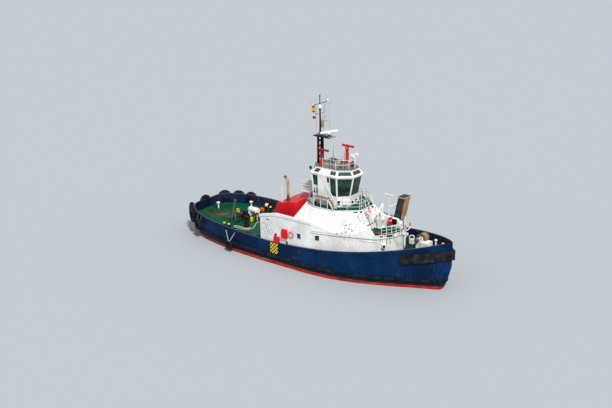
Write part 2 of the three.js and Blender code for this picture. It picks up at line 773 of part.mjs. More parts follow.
// Fore boat deck
const funnel = loft([
  [[7850, 1560], [8750, 1560], [8750, 2440], [7850, 2440]].map(([x, y]) => [x, y, onBoatDeck]),
  [[8550, 1600], [9300, 1600], [9300, 2620], [8550, 2620]].map(([x, y]) => [x, y, 7600]),
]);
const collar = box(7780, 8790, 1500, 2480, onBoatDeck, onBoatDeck + 140);
const cap = box(8500, 9340, 1560, 2660, 7540, 7640);
add("funnel", join(funnel, collar, cap), 0x6b5240);

const T_MAST = [6950, 2300];
const tMast = join(
  rod([...T_MAST, onBoatDeck], [...T_MAST, onBoatDeck + 30], 130, 8),
  rod([...T_MAST, onBoatDeck], [...T_MAST, 7340], 75, 8),
  rod([6400, 2300, 7330], [7500, 2300, 7330], 75, 6),
  rod([...T_MAST, 6050], [7250, 2950, 6230], 35, 6),
  rod([7240, 2930, 6230], [7330, 3120, 6140], 35, 6),
);
add("signal_mast", tMast.subtract(tower.translate([SEAT, 0, 0])), 0xe3e3de);

const DAVIT = [7150, 900];
add(
  "davit_post",
  join(
    box(7000, 7700, -150, 1460, onBoatDeck, onBoatDeck + 50),
    rod([...DAVIT, onBoatDeck + 20], [...DAVIT, 6500], 85, 10),
    box(7260, 7700, -60, 90, onBoatDeck + 40, 5650),
    box(7260, 7700, 480, 630, onBoatDeck + 40, 5650),
    rod([7480, 60, 5400], [7480, 500, 5400], 240, 12),
    box(7300, 7680, 600, 860, onBoatDeck + 40, 5500),
    plate([[7000, onBoatDeck], [7000, 5520], [8700, 5450], [9150, 5150], [9300, onBoatDeck]], 1080, 1460),
  ),
  0xe3e3de,
);
const jibTip = [DAVIT[0] + 250, DAVIT[1] - 1350, 6150];
add(
  "davit_jib",
  join(
    rod([...DAVIT, 6500 + RUN], [...DAVIT, 6860], 100, 10),
    rod([...DAVIT, 6800], jibTip, 55, 6),
    rod([...DAVIT, 6600], [(DAVIT[0] + jibTip[0]) / 2, (DAVIT[1] + jibTip[1]) / 2, 6480], 35, 6),
    rod([jibTip[0], jibTip[1], jibTip[2] + 30], [jibTip[0], jibTip[1], jibTip[2] - 160], 60, 8),
  ),
  0xe3e3de,
);
add(
  "hose_cabinet",
  join(
    box(8080, 8240, 560, 1020, 4950, 5620),
    box(8120, 8200, 600, 680, onBoatDeck, 5000),
    box(8120, 8200, 900, 980, onBoatDeck, 5000),
  ),
  0xb5121b,
);
const foreEdge = [[9100, 2060], [9640, 1110], [9940, 0], [9640, -1110], [9100, -2060]];
const foreRail = railing(
  foreEdge.map(([x, y]) => [x, y, onBoatDeck]),
  RAIL_HEIGHT,
  3,
  1600,
);
add("boat_deck_rail", foreRail, 0xdcdcd6);

// Foredeck: winch with a drum to port, a warping end to starboard and a gear housing
const [WINCH_X, WINCH_Z] = [12100, 4400];
const DRUM_R = 360;
const FLANGE_R = 500;
const SHAFT_R = 70;
const DRUM_Y = [380, 1120]; // inner faces of the drum's cheeks
const [flangeIn, flangeOut] = [DRUM_Y[0] + RUN, DRUM_Y[1] - RUN];
const cheekSide = [
  [WINCH_X - 380, 2500],
  [WINCH_X - 180, WINCH_Z + 180],
  [WINCH_X + 180, WINCH_Z + 180],
  [WINCH_X + 480, 2500],
];
// a cheek with the shaft's bearing through it, wide enough that the faceted shaft turns clear
const BORE_R = (SHAFT_R + 2) / Math.cos(Math.PI / 14);
function cheek(y0, y1) {
  const bore = rod([WINCH_X, y0 - 10, WINCH_Z], [WINCH_X, y1 + 10, WINCH_Z], BORE_R, 14);
  return plate(cheekSide, y0, y1).subtract(bore);
}
add(
  "winch_frame",
  onDeck(
    join(
      cheek(DRUM_Y[0] - 80, DRUM_Y[0]),
      cheek(DRUM_Y[1], DRUM_Y[1] + 80),
      cheek(-160, -80),
      box(WINCH_X + 120, WINCH_X + 400, -160, 1200, 2500, 3450),
      box(WINCH_X + 250, WINCH_X + 1050, -250, 800, 2500, 4250),
      box(WINCH_X + 120, WINCH_X + 420, 800, 1500, 2500, 3900),
      box(WINCH_X + 1150, WINCH_X + 1400, -350, 250, 2500, 3800),
      box(WINCH_X + 1000, WINCH_X + 1200, -200, 100, 2500, 3500),
    ),
  ).subtract(rod([WINCH_X, DRUM_Y[0], WINCH_Z], [WINCH_X, DRUM_Y[1], WINCH_Z], FLANGE_R + 20, 20)),
  0xe6e6e2,
);
add(
  "winch_drum",
  join(
    rod([WINCH_X, -520, WINCH_Z], [WINCH_X, 1320, WINCH_Z], SHAFT_R, 14),
    rod([WINCH_X, flangeIn, WINCH_Z], [WINCH_X, flangeOut, WINCH_Z], DRUM_R, 20),
    rod([WINCH_X, flangeIn, WINCH_Z], [WINCH_X, flangeIn + 40, WINCH_Z], FLANGE_R, 20),
    rod([WINCH_X, flangeOut - 40, WINCH_Z], [WINCH_X, flangeOut, WINCH_Z], FLANGE_R, 20),
    rod([WINCH_X, -500, WINCH_Z], [WINCH_X, -200, WINCH_Z], 170, 14),
    rod([WINCH_X, -540, WINCH_Z], [WINCH_X, -500, WINCH_Z], 230, 14),
  ),
  0x6b4a2c,
);

// bitts welded to the deck: x, y, radius, height, half spread along x and y
const BITTS = [
  [14550, 0, 130, 850, 0, 420],
  [-10200, -3420, 140, 720, 330, 0],
  [-10200, 3420, 140, 720, 330, 0],
];
const bitts = BITTS.map(([x, y, r, h, dx, dy]) => {
  const z = deckZ(x);
  const barZ = z + h * 0.55;
  const [ex, ey] = [dx ? dx + 250 : 0, dy ? dy + 250 : 0];
  return join(
    [-1, 1].map((s) =>
      rod([x + s * dx, y + s * dy, z - 400], [x + s * dx, y + s * dy, z + h], r, 12),
    ),
    rod([x - ex, y - ey, barZ], [x + ex, y + ey, barZ], r * 0.5, 8),
  );
});

// Aft deck
const FRAME = {
  apex: [-11400, -650, 3900],
  aft: [-11850, -1120, 1000],
  fore: [-10750, -1230, 1000],
};
const HOOK = [-11350, 350];
const hookZ = deckZ(HOOK[0]) + 560;
add(
  "towing_frame",
  onDeck(
    join(
      rod(FRAME.aft, FRAME.apex, 130, 8),
      rod(FRAME.fore, [-11540, -800, 3200], 70, 8),
      ball(FRAME.apex, 140, 8, 6),
      box(-11950, -11700, -1200, 300, 1000, deckZ(-11850) + 120),
      box(-11950, -11000, 40, 300, 1000, deckZ(-11850) + 120),
      box(-10950, -10650, -1320, 200, 1000, deckZ(-10800) + 110),
      box(HOOK[0] + 120, HOOK[0] + 800, 0, 700, 1000, hookZ - 130),
      box(HOOK[0] - 150, HOOK[0] + 500, 130, 570, hookZ - 260, hookZ - 130),
      box(HOOK[0] + 300, HOOK[0] + 700, 130, 570, hookZ - 260, hookZ + 260),
      box(HOOK[0] - 150, HOOK[0] + 500, 130, 570, hookZ + 130, hookZ + 220),
    ),
  ),
  0x1d1d1d,
);
add(
  "towing_hook",
  join(
    rod([...HOOK, hookZ - 130 + RUN], [...HOOK, hookZ + 130 - RUN], 110, 12),
    box(HOOK[0] - 700, HOOK[0], HOOK[1] - 80, HOOK[1] + 80, hookZ - 90, hookZ + 90),
    box(HOOK[0] - 780, HOOK[0] - 620, HOOK[1] - 80, HOOK[1] + 80, hookZ - 90, hookZ + 260),
    box(HOOK[0] - 780, HOOK[0] - 450, HOOK[1] - 80, HOOK[1] + 80, hookZ + 180, hookZ + 290),
  ),
  0xc9a217,
);

const CAPSTAN = [-9110, -1390];
const capZ = deckZ(CAPSTAN[0]);
const capstanBase = rod([...CAPSTAN, 900], [...CAPSTAN, capZ + 220], 300, 14);
add(
  "capstan",
  join(
    rod([...CAPSTAN, capZ + 220 + RUN], [...CAPSTAN, capZ + 340], 270, 14, 235),
    rod([...CAPSTAN, capZ + 330], [...CAPSTAN, capZ + 1050], 225, 14),
    rod([...CAPSTAN, capZ + 1030], [...CAPSTAN, capZ + 1150], 255, 14),
  ),
  0x111111,
);

const raftZ = deckZ(-10500) + 700;
const raftProfile = [[0, -680], [250, -680], [310, -560], [310, 560], [250, 680], [0, 680]];
const raft = solid(
  new THREE.LatheGeometry(raftProfile.map(([a, b]) => new THREE.Vector2(a, b)), 14),
);
add(
  "liferaft",
  onDeck(
    join(
      raft.rotate([0, 0, 90]).translate([-10550, 1400, raftZ + 63]),
      box(-11080, -10980, 1050, 1750, 1000, raftZ - 80),
      box(-10120, -10020, 1050, 1750, 1000, raftZ - 80),
    ),
  ),
  0xf0f0ee,
);

// ropes lying on the aft deck: name, radius, colour, places
const LINES = [
  [
    "mooring_rope",
    32,
    0xe2e2da,
    [
      [-8760, -1400],
      [-8560, -1560],
      [-8820, -1900],
      [-9300, -1960],
      [-9800, -1980],
      [-10150, -2160],
      [-10060, -2420],
      [-9500, -2330],
      [-8800, -2200],
      [-8360, -1800],
      [-8300, -1250],
      [-8560, -700],
      [-8900, -180],
      [-9020, 450],
    ],
  ],
  [
    "tag_line",
    24,
    0xd9641e,
    [
      [-9350, -2750],
      [-9100, -2560],
      [-8750, -2480],
      [-8450, -2250],
      [-8180, -2020],
    ],
  ],
  [
    "stern_line",
    28,
    0xc03028,
    [
      [-14100, -980],
      [-13800, -940],
      [-13500, -660],
      [-13330, -260],
      [-13230, 190],
    ],
  ],
];
const ROPE_SIDES = 8;
for (const [name, r, color, places] of LINES) {
  const lift = r * Math.cos(Math.PI / ROPE_SIDES) + SEAT + 0.03; // the rope's flat side is down
  const points = places.map(([x, y]) => new THREE.Vector3(x, y, deckZ(x) + lift));
  const route = new THREE.CatmullRomCurve3(points, false, "catmullrom", 0.5);
  const section = new THREE.Shape();
  for (let k = 0; k < ROPE_SIDES; k++) {
    const t = (Math.PI * (2 * k + 1)) / ROPE_SIDES;
    section[k ? "lineTo" : "moveTo"](r * Math.cos(t), r * Math.sin(t));
  }
  const steps = Math.round(route.getLength() / (5 * r));
  const tube = new THREE.ExtrudeGeometry(section, { steps, extrudePath: route });
  add(name, onDeck(solid(tube)), color);
}

// mushroom vents welded to the deck: x, y, height
const VENTS = [
  [-15200, 600, 620],
  [-12700, 3350, 560],
  [-10900, 3950, 560],
];
const vents = VENTS.map(([x, y, h]) => {
  const z = deckZ(x);
  return join(
    rod([x, y, z - 500], [x, y, z + h], 90, 8),
    rod([x, y, z + h - 20], [x, y, z + h + 60], 210, 10),
    rod([x, y, z + h + 50], [x, y, z + h + 150], 210, 10, 90),
  );
});
add("hull", join(hull, bitts, vents, capstanBase), 0x14203c);

// Azimuth thrusters
const hub = [THRUSTER_X, THRUSTER_Y, THRUSTER_Z];
function thruster() {
  const [x, y, z] = hub;
  const nozzle = [[1060, -500], [1230, -440], [1200, 400], [1060, 440], [1060, -500]];
  const ringGeometry = new THREE.LatheGeometry(
    nozzle.map(([a, b]) => new THREE.Vector2(a, b)),
    22,
  );
  const shroud = solid(ringGeometry.rotateZ(Math.PI / 2)).translate([x - 950, y, z]);
  return join(
    rod([x, y, -1950 - RUN], [x, y, -2100], 640, 16),
    rod([x, y, -2080], [x, y, z], 260, 12),
    rod([x - 420, y, z], [x + 620, y, z], 290, 12),
    ball([x + 620, y, z], 290, 12, 6),
    box(x - 1000, x + 100, y - 90, y + 90, -2210, -2100),
    shroud,
  );
}
const pod = thruster();
add("thruster_port", pod, 0x5b3a30);
add("thruster_starboard", mirrored(pod), 0x5b3a30);

function propeller(hand) {
  const [x, y, z] = [hub[0] - 950, hub[1], hub[2]];
  const boss = join(
    rod([x + 530 - RUN, y, z], [x - 200, y, z], 200, 14),
    rod([x - 195, y, z], [x - 420, y, z], 200, 14, 60),
  );
  const blades = [0, 1, 2, 3].map((k) => {
    const outline = [[0, 120], [0, 260], [-20, 620], [10, PROPELLER_R - 20]];
    const rings = outline.map(([, r], i) => {
      const chord = [200, 300, 520, 380][i] / 2;
      const pitch = hand * [1.0, 0.85, 0.55, 0.42][i];
      const t = [60, 48, 26, 12][i] / 2;
      const c = Math.cos(pitch);
      const s = Math.sin(pitch);
      return [[-chord, -t], [chord, -t], [chord, t], [-chord, t]].map(([u, v]) => [
        u * s + v * c,
        u * c - v * s,
        r,
      ]);
    });
    return loft(rings).rotate([k * 90, 0, 0]).translate([x, y, z]);
  });
  return join(boss, blades);
}
add("propeller_port", propeller(1), 0xb08d4a);
add("propeller_starboard", mirrored(propeller(1)), 0xb08d4a);

const group = new THREE.Group();
group.add(...meshes);
export default group;
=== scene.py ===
"""Looks of the harbour tug: finishes, small fittings, camera and light."""

import math

import bmesh
import bpy
from mathutils import Matrix, Vector


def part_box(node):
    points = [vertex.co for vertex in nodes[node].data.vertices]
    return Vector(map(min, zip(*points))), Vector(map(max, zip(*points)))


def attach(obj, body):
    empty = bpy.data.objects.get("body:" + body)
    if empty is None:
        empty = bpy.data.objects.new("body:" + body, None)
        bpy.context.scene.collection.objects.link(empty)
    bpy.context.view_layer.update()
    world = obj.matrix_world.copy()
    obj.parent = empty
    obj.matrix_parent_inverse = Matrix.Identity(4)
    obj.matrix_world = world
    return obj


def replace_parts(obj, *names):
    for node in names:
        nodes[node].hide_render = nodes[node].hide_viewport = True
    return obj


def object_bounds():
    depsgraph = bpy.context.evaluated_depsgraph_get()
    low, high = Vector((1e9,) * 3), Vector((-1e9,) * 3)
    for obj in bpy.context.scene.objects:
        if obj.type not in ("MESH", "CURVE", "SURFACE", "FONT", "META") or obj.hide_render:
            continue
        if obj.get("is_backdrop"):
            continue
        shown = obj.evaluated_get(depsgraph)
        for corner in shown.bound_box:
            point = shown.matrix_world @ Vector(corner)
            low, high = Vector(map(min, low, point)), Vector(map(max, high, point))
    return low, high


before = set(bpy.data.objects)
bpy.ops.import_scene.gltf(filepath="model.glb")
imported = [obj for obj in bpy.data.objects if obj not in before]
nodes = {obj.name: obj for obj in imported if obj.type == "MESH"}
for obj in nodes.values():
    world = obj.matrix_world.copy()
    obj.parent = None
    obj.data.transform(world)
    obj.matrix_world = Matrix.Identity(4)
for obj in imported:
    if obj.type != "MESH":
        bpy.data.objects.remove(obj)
cad_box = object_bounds()

# Colours
WHITE = (0.78, 0.78, 0.75, 1)
NAVY = (0.0012, 0.013, 0.045, 1)
INNER_NAVY = (0.0025, 0.009, 0.022, 1)
ANTIFOUL = (0.42, 0.032, 0.014, 1)
DECK_GREEN = (0.0015, 0.082, 0.040, 1)
RUST = (0.22, 0.060, 0.016, 1)
PALE_RUST = (0.42, 0.19, 0.075, 1)
SOOT = (0.012, 0.011, 0.010, 1)
BLACK = (0.010, 0.010, 0.011, 1)
RUBBER = (0.009, 0.009, 0.010, 1)
RED = (0.62, 0.008, 0.014, 1)
YELLOW = (0.83, 0.56, 0.015, 1)
BUFF = (0.33, 0.175, 0.095, 1)
BUFF_RIM = (0.55, 0.42, 0.32, 1)
BEIGE = (0.45, 0.32, 0.22, 1)
MAST_RED = (0.028, 0.009, 0.009, 1)
OLD_RED = (0.24, 0.022, 0.018, 1)
ORANGE = (0.80, 0.115, 0.020, 1)

# Places that several pieces share, in metres
SIDE_Y = 4.69
BOAT_DECK = 4.60
ROOF_TOP = 10.17
BITT_TOPS = (2.341, 4.482)
BITTS = [(-10.53, -3.42), (-9.87, -3.42), (-10.53, 3.42), (-9.87, 3.42), (14.55, -0.42), (14.55, 0.42)]
VENTS = [(-15.2, 0.6), (-12.7, 3.35), (-10.9, 3.95)]
CAPSTAN = (-9.11, -1.39)

# The way up, and the corners of a square in turn
UP = Vector((0, 0, 1))
CORNERS = ((-1, -1), (1, -1), (1, 1), (-1, 1))


def bulwark_top(x):
    if x < -4:
        return 2.35 + 0.6 * (-4 - x) / 11.6
    return 2.35 + 2.65 * ((x + 4) / 20) ** 1.7


def deck_z(x):
    return bulwark_top(x) - 1.05


def half_beam(x):
    if x < -5:
        return 4.9 * (1 - min((-5 - x) / 11.5, 1) ** 2.9) ** (1 / 2.9)
    if x < 2:
        return 4.9
    return 4.9 * (1 - min((x - 2) / 13.9, 1) ** 2.2) ** 0.85


def outline(x, hand, off=0.0):
    """Point on the hull's outline, off metres outside it, and the way out of it."""
    slope = (half_beam(x + 0.05) - half_beam(x - 0.05)) / 0.1
    out = Vector((-slope, hand, 0)).normalized()
    return Vector((x, hand * half_beam(x), 0)) + out * off, out


# Finishes
class Finish:
    """A node material put together by short calls. Places are metres on the boat."""

    def __init__(self, name, rough=0.5, metal=0.0, gloss=0.05):
        self.material = bpy.data.materials.new(name)
        self.material.use_nodes = True
        self.tree = self.material.node_tree
        self.shader = self.tree.nodes["Principled BSDF"]
        self.put(self.shader.inputs["Metallic"], metal)
        self.put(self.shader.inputs["Roughness"], rough)
        self.put(self.shader.inputs["Specular IOR Level"], gloss)
        self.place = self.new("ShaderNodeTexCoord").outputs["Object"]
        self.normal = None

    def new(self, kind, **settings):
        node = self.tree.nodes.new(kind)
        for key, value in settings.items():
            setattr(node, key, value)
        return node

    def put(self, socket, value):
        if isinstance(value, bpy.types.NodeSocket):
            self.tree.links.new(value, socket)
        else:
            socket.default_value = value

    def axis(self, letter, vector=None):
        node = self.new("ShaderNodeSeparateXYZ")
        self.put(node.inputs[0], vector or self.place)
        return node.outputs[letter]

    def facing(self, letter):
        return self.axis(letter, self.new("ShaderNodeNewGeometry").outputs["Normal"])

    def noise(self, scale, detail=5, stretch=None):
        node = self.new("ShaderNodeTexNoise")
        source = self.place
        if stretch:
            mapping = self.new("ShaderNodeMapping")
            self.put(mapping.inputs["Vector"], self.place)
            self.put(mapping.inputs["Scale"], stretch)
            source = mapping.outputs[0]
        self.put(node.inputs["Vector"], source)
        self.put(node.inputs["Scale"], scale)
        self.put(node.inputs["Detail"], detail)
        return node.outputs[0]

    def span(self, value, low, high):
        node = self.new("ShaderNodeMapRange", interpolation_type="SMOOTHSTEP")
        self.put(node.inputs["Value"], value)
        self.put(node.inputs["From Min"], low)
        self.put(node.inputs["From Max"], high)
        return node.outputs[0]

    def patches(self, scale, detail, low, high, stretch=None):
        """Patches with soft edges, where noise climbs from low to high."""
        return self.span(self.noise(scale, detail, stretch), low, high)

    def above(self, low, high, scale=2):
        """From 0 at the low height to 1 at the high one, with a ragged edge."""
        return self.span(self.calc("ADD", self.axis("Z"), self.noise(scale, 4)), low, high)

    def calc(self, operation, a, b=0.0):
        node = self.new("ShaderNodeMath", operation=operation)
        self.put(node.inputs[0], a)
        self.put(node.inputs[1], b)
        return node.outputs[0]

    def both(self, a, b):
        return self.calc("MULTIPLY", a, b)

    def rest(self, share):
        return self.calc("SUBTRACT", 1.0, share)

    def waves(self, letter, pitch):
        """A wave along an axis, from -1 to 1, with its pitch in metres."""
        return self.calc("SINE", self.both(self.axis(letter), 2 * math.pi / pitch))

    def mix(self, share, a, b):
        node = self.new("ShaderNodeMix", data_type="RGBA")
        self.put(node.inputs[0], share)
        self.put(node.inputs[6], a)
        self.put(node.inputs[7], b)
        return node.outputs[2]

    def bevel(self, radius):
        node = self.new("ShaderNodeBevel", samples=4)
        self.put(node.inputs["Radius"], radius)
        return node.outputs[0]

    def edges(self, radius):
        dot = self.new("ShaderNodeVectorMath", operation="DOT_PRODUCT")
        self.put(dot.inputs[0], self.bevel(radius))
        self.put(dot.inputs[1], self.new("ShaderNodeNewGeometry").outputs["Normal"])
        return self.span(self.rest(dot.outputs["Value"]), 0.02, 0.16)

    def worn(self, radius, low, high):
        """Worn spots along the edges."""
        return self.both(self.edges(radius), self.patches(5, 7, low, high))

    def streaks(self, width, length, low, high):
        """Runs that hang down a wall, in patches."""
        runs = self.noise(1, 4, (1 / width, 1 / width, 1 / length))
        return self.both(self.span(runs, low, high), self.patches(0.55, 3, 0.42, 0.62))

    def color(self, value):
        self.put(self.shader.inputs["Base Color"], value)
        return self

    def rough(self, low, swing=0.3, scale=6, detail=5):
        """Roughness in patches, from low upwards by the swing."""
        value = self.calc("ADD", self.both(self.noise(scale, detail), swing), low)
        self.put(self.shader.inputs["Roughness"], value)

    def bump(self, height, distance):
        node = self.new("ShaderNodeBump")
        self.put(node.inputs["Distance"], distance)
        self.put(node.inputs["Height"], height)
        if self.normal:
            self.put(node.inputs["Normal"], self.normal)
        self.normal = node.outputs[0]
        self.put(self.shader.inputs["Normal"], self.normal)

    def round_edges(self, radius):
        self.normal = self.bevel(radius)
        self.put(self.shader.inputs["Normal"], self.normal)


def shade(color, by):
    return tuple(c * by for c in color[:3]) + (1,)


def near(f, place, reach):
    """1 close to a place and 0 beyond its reach, with a ragged edge."""
    gap = f.new("ShaderNodeVectorMath", operation="DISTANCE")
    f.put(gap.inputs[0], f.place)
    f.put(gap.inputs[1], place)
    ragged = f.calc("ADD", gap.outputs["Value"], f.noise(1.5, 6))
    return f.rest(f.span(ragged, reach * 0.5, reach + 0.5))


def weathered(f, base, rust, dirt, chips, edge, worst):
    """Paint that is faded, grimy, rusty, chipped and worn, most of all at the worst places."""
    out = f.mix(f.patches(0.7, 4, 0.35, 0.7), base, shade(base, 0.82))
    grime = f.both(f.patches(3.5, 8, 0.48, 0.78), dirt)
    out = f.mix(grime, out, (0.16, 0.145, 0.12, 1))
    fine = f.streaks(0.07, 1.6, 0.56, 0.74)
    out = f.mix(f.both(fine, rust), out, f.mix(f.noise(9), RUST, PALE_RUST))
    wide = f.streaks(0.32, 2.6, 0.60, 0.80)
    out = f.mix(f.both(wide, rust * 0.55), out, PALE_RUST)
    spots = f.both(f.patches(7.0, 6, 0.655, 0.69), f.patches(0.9, 5, 0.44, 0.56))
    out = f.mix(f.both(spots, chips), out, shade(RUST, 0.5))
    for place, reach, color, grain in worst:
        flakes = f.both(f.patches(1, 8, 0.54, 0.60, grain), near(f, place, reach))
        out = f.mix(f.both(flakes, 0.9), out, color)
    if edge:
        out = f.mix(f.both(f.worn(edge, 0.42, 0.60), 0.85), out, RUST)
    return out


def painted(name, base, rust, dirt, chips, rough=0.42, edge=0.02, dents=0.022, worst=(), gloss=0.16):
    f = Finish(name, gloss=gloss)
    f.color(weathered(f, base, rust, dirt, chips, edge, worst))
    f.rough(rough - 0.17, 0.35, 6, 6)
    if edge:
        f.round_edges(0.018)
    if dents:
        f.bump(f.noise(1.5, 2), dents)
    f.bump(f.noise(45, 4), 0.0022)
    return f.material


def thin_paint(name, base, rust, dirt, chips, gloss=0.16):
    """Paint on small or thin things, with no worn edges and no dents."""
    return painted(name, base, rust, dirt, chips, edge=0, dents=0, gloss=gloss)


def plain(name, base, rough=0.5, metal=0.0, vary=0.7, grain=30, bump=0.003):
    f = Finish(name, rough, metal, 0.5 if metal else 0.12)
    f.color(f.mix(f.patches(grain * 0.12, 6, 0.35, 0.68), base, shade(base, vary)))
    f.rough(rough - 0.15, scale=grain * 0.4)
    f.bump(f.noise(grain, 5), bump)
    return f.material


def hull_side():
    f = Finish("hull_side")
    wave = f.both(f.calc("SUBTRACT", f.noise(0.8, 3), 0.5), 0.05)
    level = f.calc("ADD", f.axis("Z"), wave)
    paint = f.mix(f.patches(0.4, 5, 0.36, 0.66), NAVY, shade(NAVY, 1.9))
    scuff = f.both(f.patches(1, 6, 0.60, 0.72, (0.5, 0.5, 5)), f.patches(0.35, 5, 0.45, 0.6))
    paint = f.mix(f.both(scuff, 0.35), paint, (0.03, 0.09, 0.15, 1))
    salt = f.streaks(0.10, 1.2, 0.55, 0.75)
    paint = f.mix(f.both(salt, 0.12), paint, (0.20, 0.24, 0.27, 1))
    paint = f.mix(f.both(f.streaks(0.06, 0.9, 0.62, 0.76), 0.75), paint, RUST)
    red = f.mix(f.patches(0.9, 6, 0.4, 0.66), ANTIFOUL, shade(ANTIFOUL, 0.55))
    red = f.mix(f.both(f.patches(1, 6, 0.56, 0.70, (0.7, 0.7, 7)), 0.6), red, (0.30, 0.20, 0.16, 1))
    red = f.mix(f.both(f.patches(5, 8, 0.60, 0.70), 0.7), red, (0.05, 0.05, 0.035, 1))
    dry = f.span(level, 0.34, 0.36)
    line = f.both(dry, f.rest(f.span(level, 0.47, 0.50)))
    paint = f.mix(line, paint, shade(BLACK, 1.2))
    out = f.mix(f.rest(dry), paint, red)
    f.color(f.mix(f.both(f.worn(0.03, 0.45, 0.6), 0.7), out, RUST))
    f.rough(0.22, 0.4, 5, 6)
    f.round_edges(0.02)
    f.bump(f.waves("X", 0.62), 0.004)
    f.bump(f.noise(1.2, 2), 0.022)
    f.bump(f.noise(40, 4), 0.002)
    return f.material


def bulwark_inside():
    f = Finish("bulwark_inside")
    base = f.mix(f.patches(0.6, 5, 0.4, 0.65), INNER_NAVY, shade(INNER_NAVY, 2.2))
    base = f.mix(f.both(f.streaks(0.08, 0.7, 0.56, 0.72), 0.8), base, RUST)
    f.color(f.mix(f.both(f.worn(0.03, 0.42, 0.58), 0.8), base, PALE_RUST))
    f.rough(0.35, 0.3, 5, 6)
    f.round_edges(0.02)
    f.bump(f.noise(1.6, 3), 0.015)
    return f.material


def deck_paint(name, patch=None):
    f = Finish(name)
    base = f.mix(f.patches(0.5, 5, 0.38, 0.66), DECK_GREEN, shade(DECK_GREEN, 0.55))
    base = f.mix(f.both(f.patches(2.2, 7, 0.50, 0.72), 0.4), base, (0.012, 0.07, 0.04, 1))
    wet = f.patches(0.28, 3, 0.50, 0.66)
    base = f.mix(f.both(wet, 0.5), base, (0.003, 0.055, 0.030, 1))
    rusty = f.both(f.patches(1.1, 8, 0.61, 0.71), 0.65)
    base = f.mix(rusty, base, RUST)
    if patch:
        # Forward of x 7.5 to 9.5 the deck goes darker in patches: painted shade on the foredeck, with some
        # grime
        ahead = f.span(f.axis("X"), 7.5, 9.5)
        base = f.mix(f.both(ahead, f.patches(0.9, 6, 0.30, 0.55)), base, (0.012, 0.020, 0.016, 1))
        old = f.mix(f.noise(3, 6), shade(RUST, 0.35), (0.075, 0.060, 0.026, 1))
        worn = f.patches(1, 7, 0.42, 0.60, (0.8, 2.6, 1))
        base = f.mix(f.both(f.both(near(f, patch, 2.3), worn), 0.8), base, old)
    white = f.both(f.edges(0.02), f.patches(4, 6, 0.5, 0.62))
    f.color(f.mix(f.both(white, 0.6), base, PALE_RUST))
    f.rough(f.both(f.rest(wet), 0.45), 0.3, 8, 5)
    f.bump(f.noise(60, 3), 0.004)
    f.bump(f.noise(1.0, 2), 0.012)
    return f.material


def rubber(name, ribs=None, gray=1.0):
    f = Finish(name, 0.7)
    base = f.mix(f.patches(1.4, 7, 0.4, 0.68), shade(RUBBER, gray), shade(RUBBER, gray * 2.6))
    base = f.mix(f.both(f.patches(4, 8, 0.56, 0.72), 0.5), base, (0.10, 0.085, 0.065, 1))
    f.color(base)
    f.rough(0.42, 0.4, 7, 6)
    if ribs:
        f.bump(f.waves("X", ribs), 0.012)
    f.bump(f.noise(12, 6), 0.012)
    return f.material


def glass():
    f = Finish("cabin_glass", 0.04, gloss=0.3)
    tint = f.mix(f.patches(1.3, 4, 0.42, 0.58), (0.003, 0.024, 0.015, 1), (0.016, 0.13, 0.09, 1))
    f.color(f.mix(f.patches(1.9, 5, 0.56, 0.66), tint, (0.030, 0.036, 0.018, 1)))
    f.put(f.shader.inputs["Roughness"], f.calc("ADD", f.both(f.patches(5, 6, 0.5, 0.8), 0.12), 0.03))
    f.put(f.shader.inputs["Transmission Weight"], 0.62)
    f.put(f.shader.inputs["IOR"], 1.45)
    return f.material


def dark_glass():
    f = Finish("small_window_glass", 0.08, gloss=0.5)
    f.color(f.mix(f.patches(2, 3, 0.4, 0.6), (0.006, 0.012, 0.014, 1), (0.012, 0.026, 0.028, 1)))
    f.rough(0.03, 0.14)
    return f.material


def funnel_paint():
    f = Finish("funnel_paint")
    # Faces that do not look forward take the dark grey: painted shade on the funnel's sides
    ahead = f.span(f.facing("X"), 0.4, 0.6)
    buff = f.mix(f.patches(1.2, 6, 0.4, 0.65), BUFF, shade(BUFF, 1.5))
    dark = f.mix(f.patches(1.4, 6, 0.4, 0.65), (0.045, 0.047, 0.050, 1), (0.022, 0.023, 0.025, 1))
    base = f.mix(ahead, dark, buff)
    base = f.mix(f.both(f.streaks(0.09, 1.5, 0.54, 0.72), 0.7), base, RUST)
    top = f.both(f.above(7.3, 8.2), 0.30)
    base = f.mix(top, base, SOOT)
    below = f.rest(f.span(f.axis("Z"), 4.73, 4.75))
    rim = f.calc("MAXIMUM", f.span(f.axis("Z"), 7.53, 7.54), below)
    base = f.mix(f.both(rim, 0.8), base, BUFF_RIM)
    base = f.mix(f.both(f.span(f.facing("Z"), 0.5, 0.7), 0.92), base, shade(SOOT, 2))
    f.color(f.mix(f.worn(0.025, 0.45, 0.6), base, PALE_RUST))
    f.rough(0.4)
    f.round_edges(0.02)
    f.bump(f.noise(1.6, 2), 0.015)
    f.bump(f.noise(45, 4), 0.002)
    return f.material


def pipe_paint():
    f = Finish("pipe_paint")
    base = f.mix(f.patches(1.2, 6, 0.4, 0.65), BEIGE, shade(BEIGE, 0.7))
    low = f.rest(f.above(6.9, 7.7, 1.5))
    base = f.mix(low, base, (0.055, 0.050, 0.048, 1))
    tip = f.both(f.above(8.8, 9.2), 0.8)
    base = f.mix(tip, base, SOOT)
    f.color(f.mix(f.both(f.streaks(0.06, 0.9, 0.54, 0.70), 0.7), base, RUST))
    f.rough(0.4)
    f.bump(f.noise(30, 5), 0.004)
    return f.material


def bands(name, colors, low, high):
    """Cloth with even bands of colour from the low height to the high one."""
    f = Finish(name, 0.8)
    share = f.new("ShaderNodeMapRange")
    f.put(share.inputs["Value"], f.axis("Z"))
    f.put(share.inputs["From Min"], low)
    f.put(share.inputs["From Max"], high)
    out = colors[0]
    for i, color in enumerate(colors[1:], 1):
        seam = i / len(colors)
        out = f.mix(f.span(share.outputs[0], seam - 0.01, seam + 0.01), out, color)
    f.color(f.mix(f.both(f.noise(14, 5), 0.25), out, (0.05, 0.05, 0.05, 1)))
    f.bump(f.calc("SINE", f.both(f.axis("Z"), 900.0)), 0.001)
    return f.material


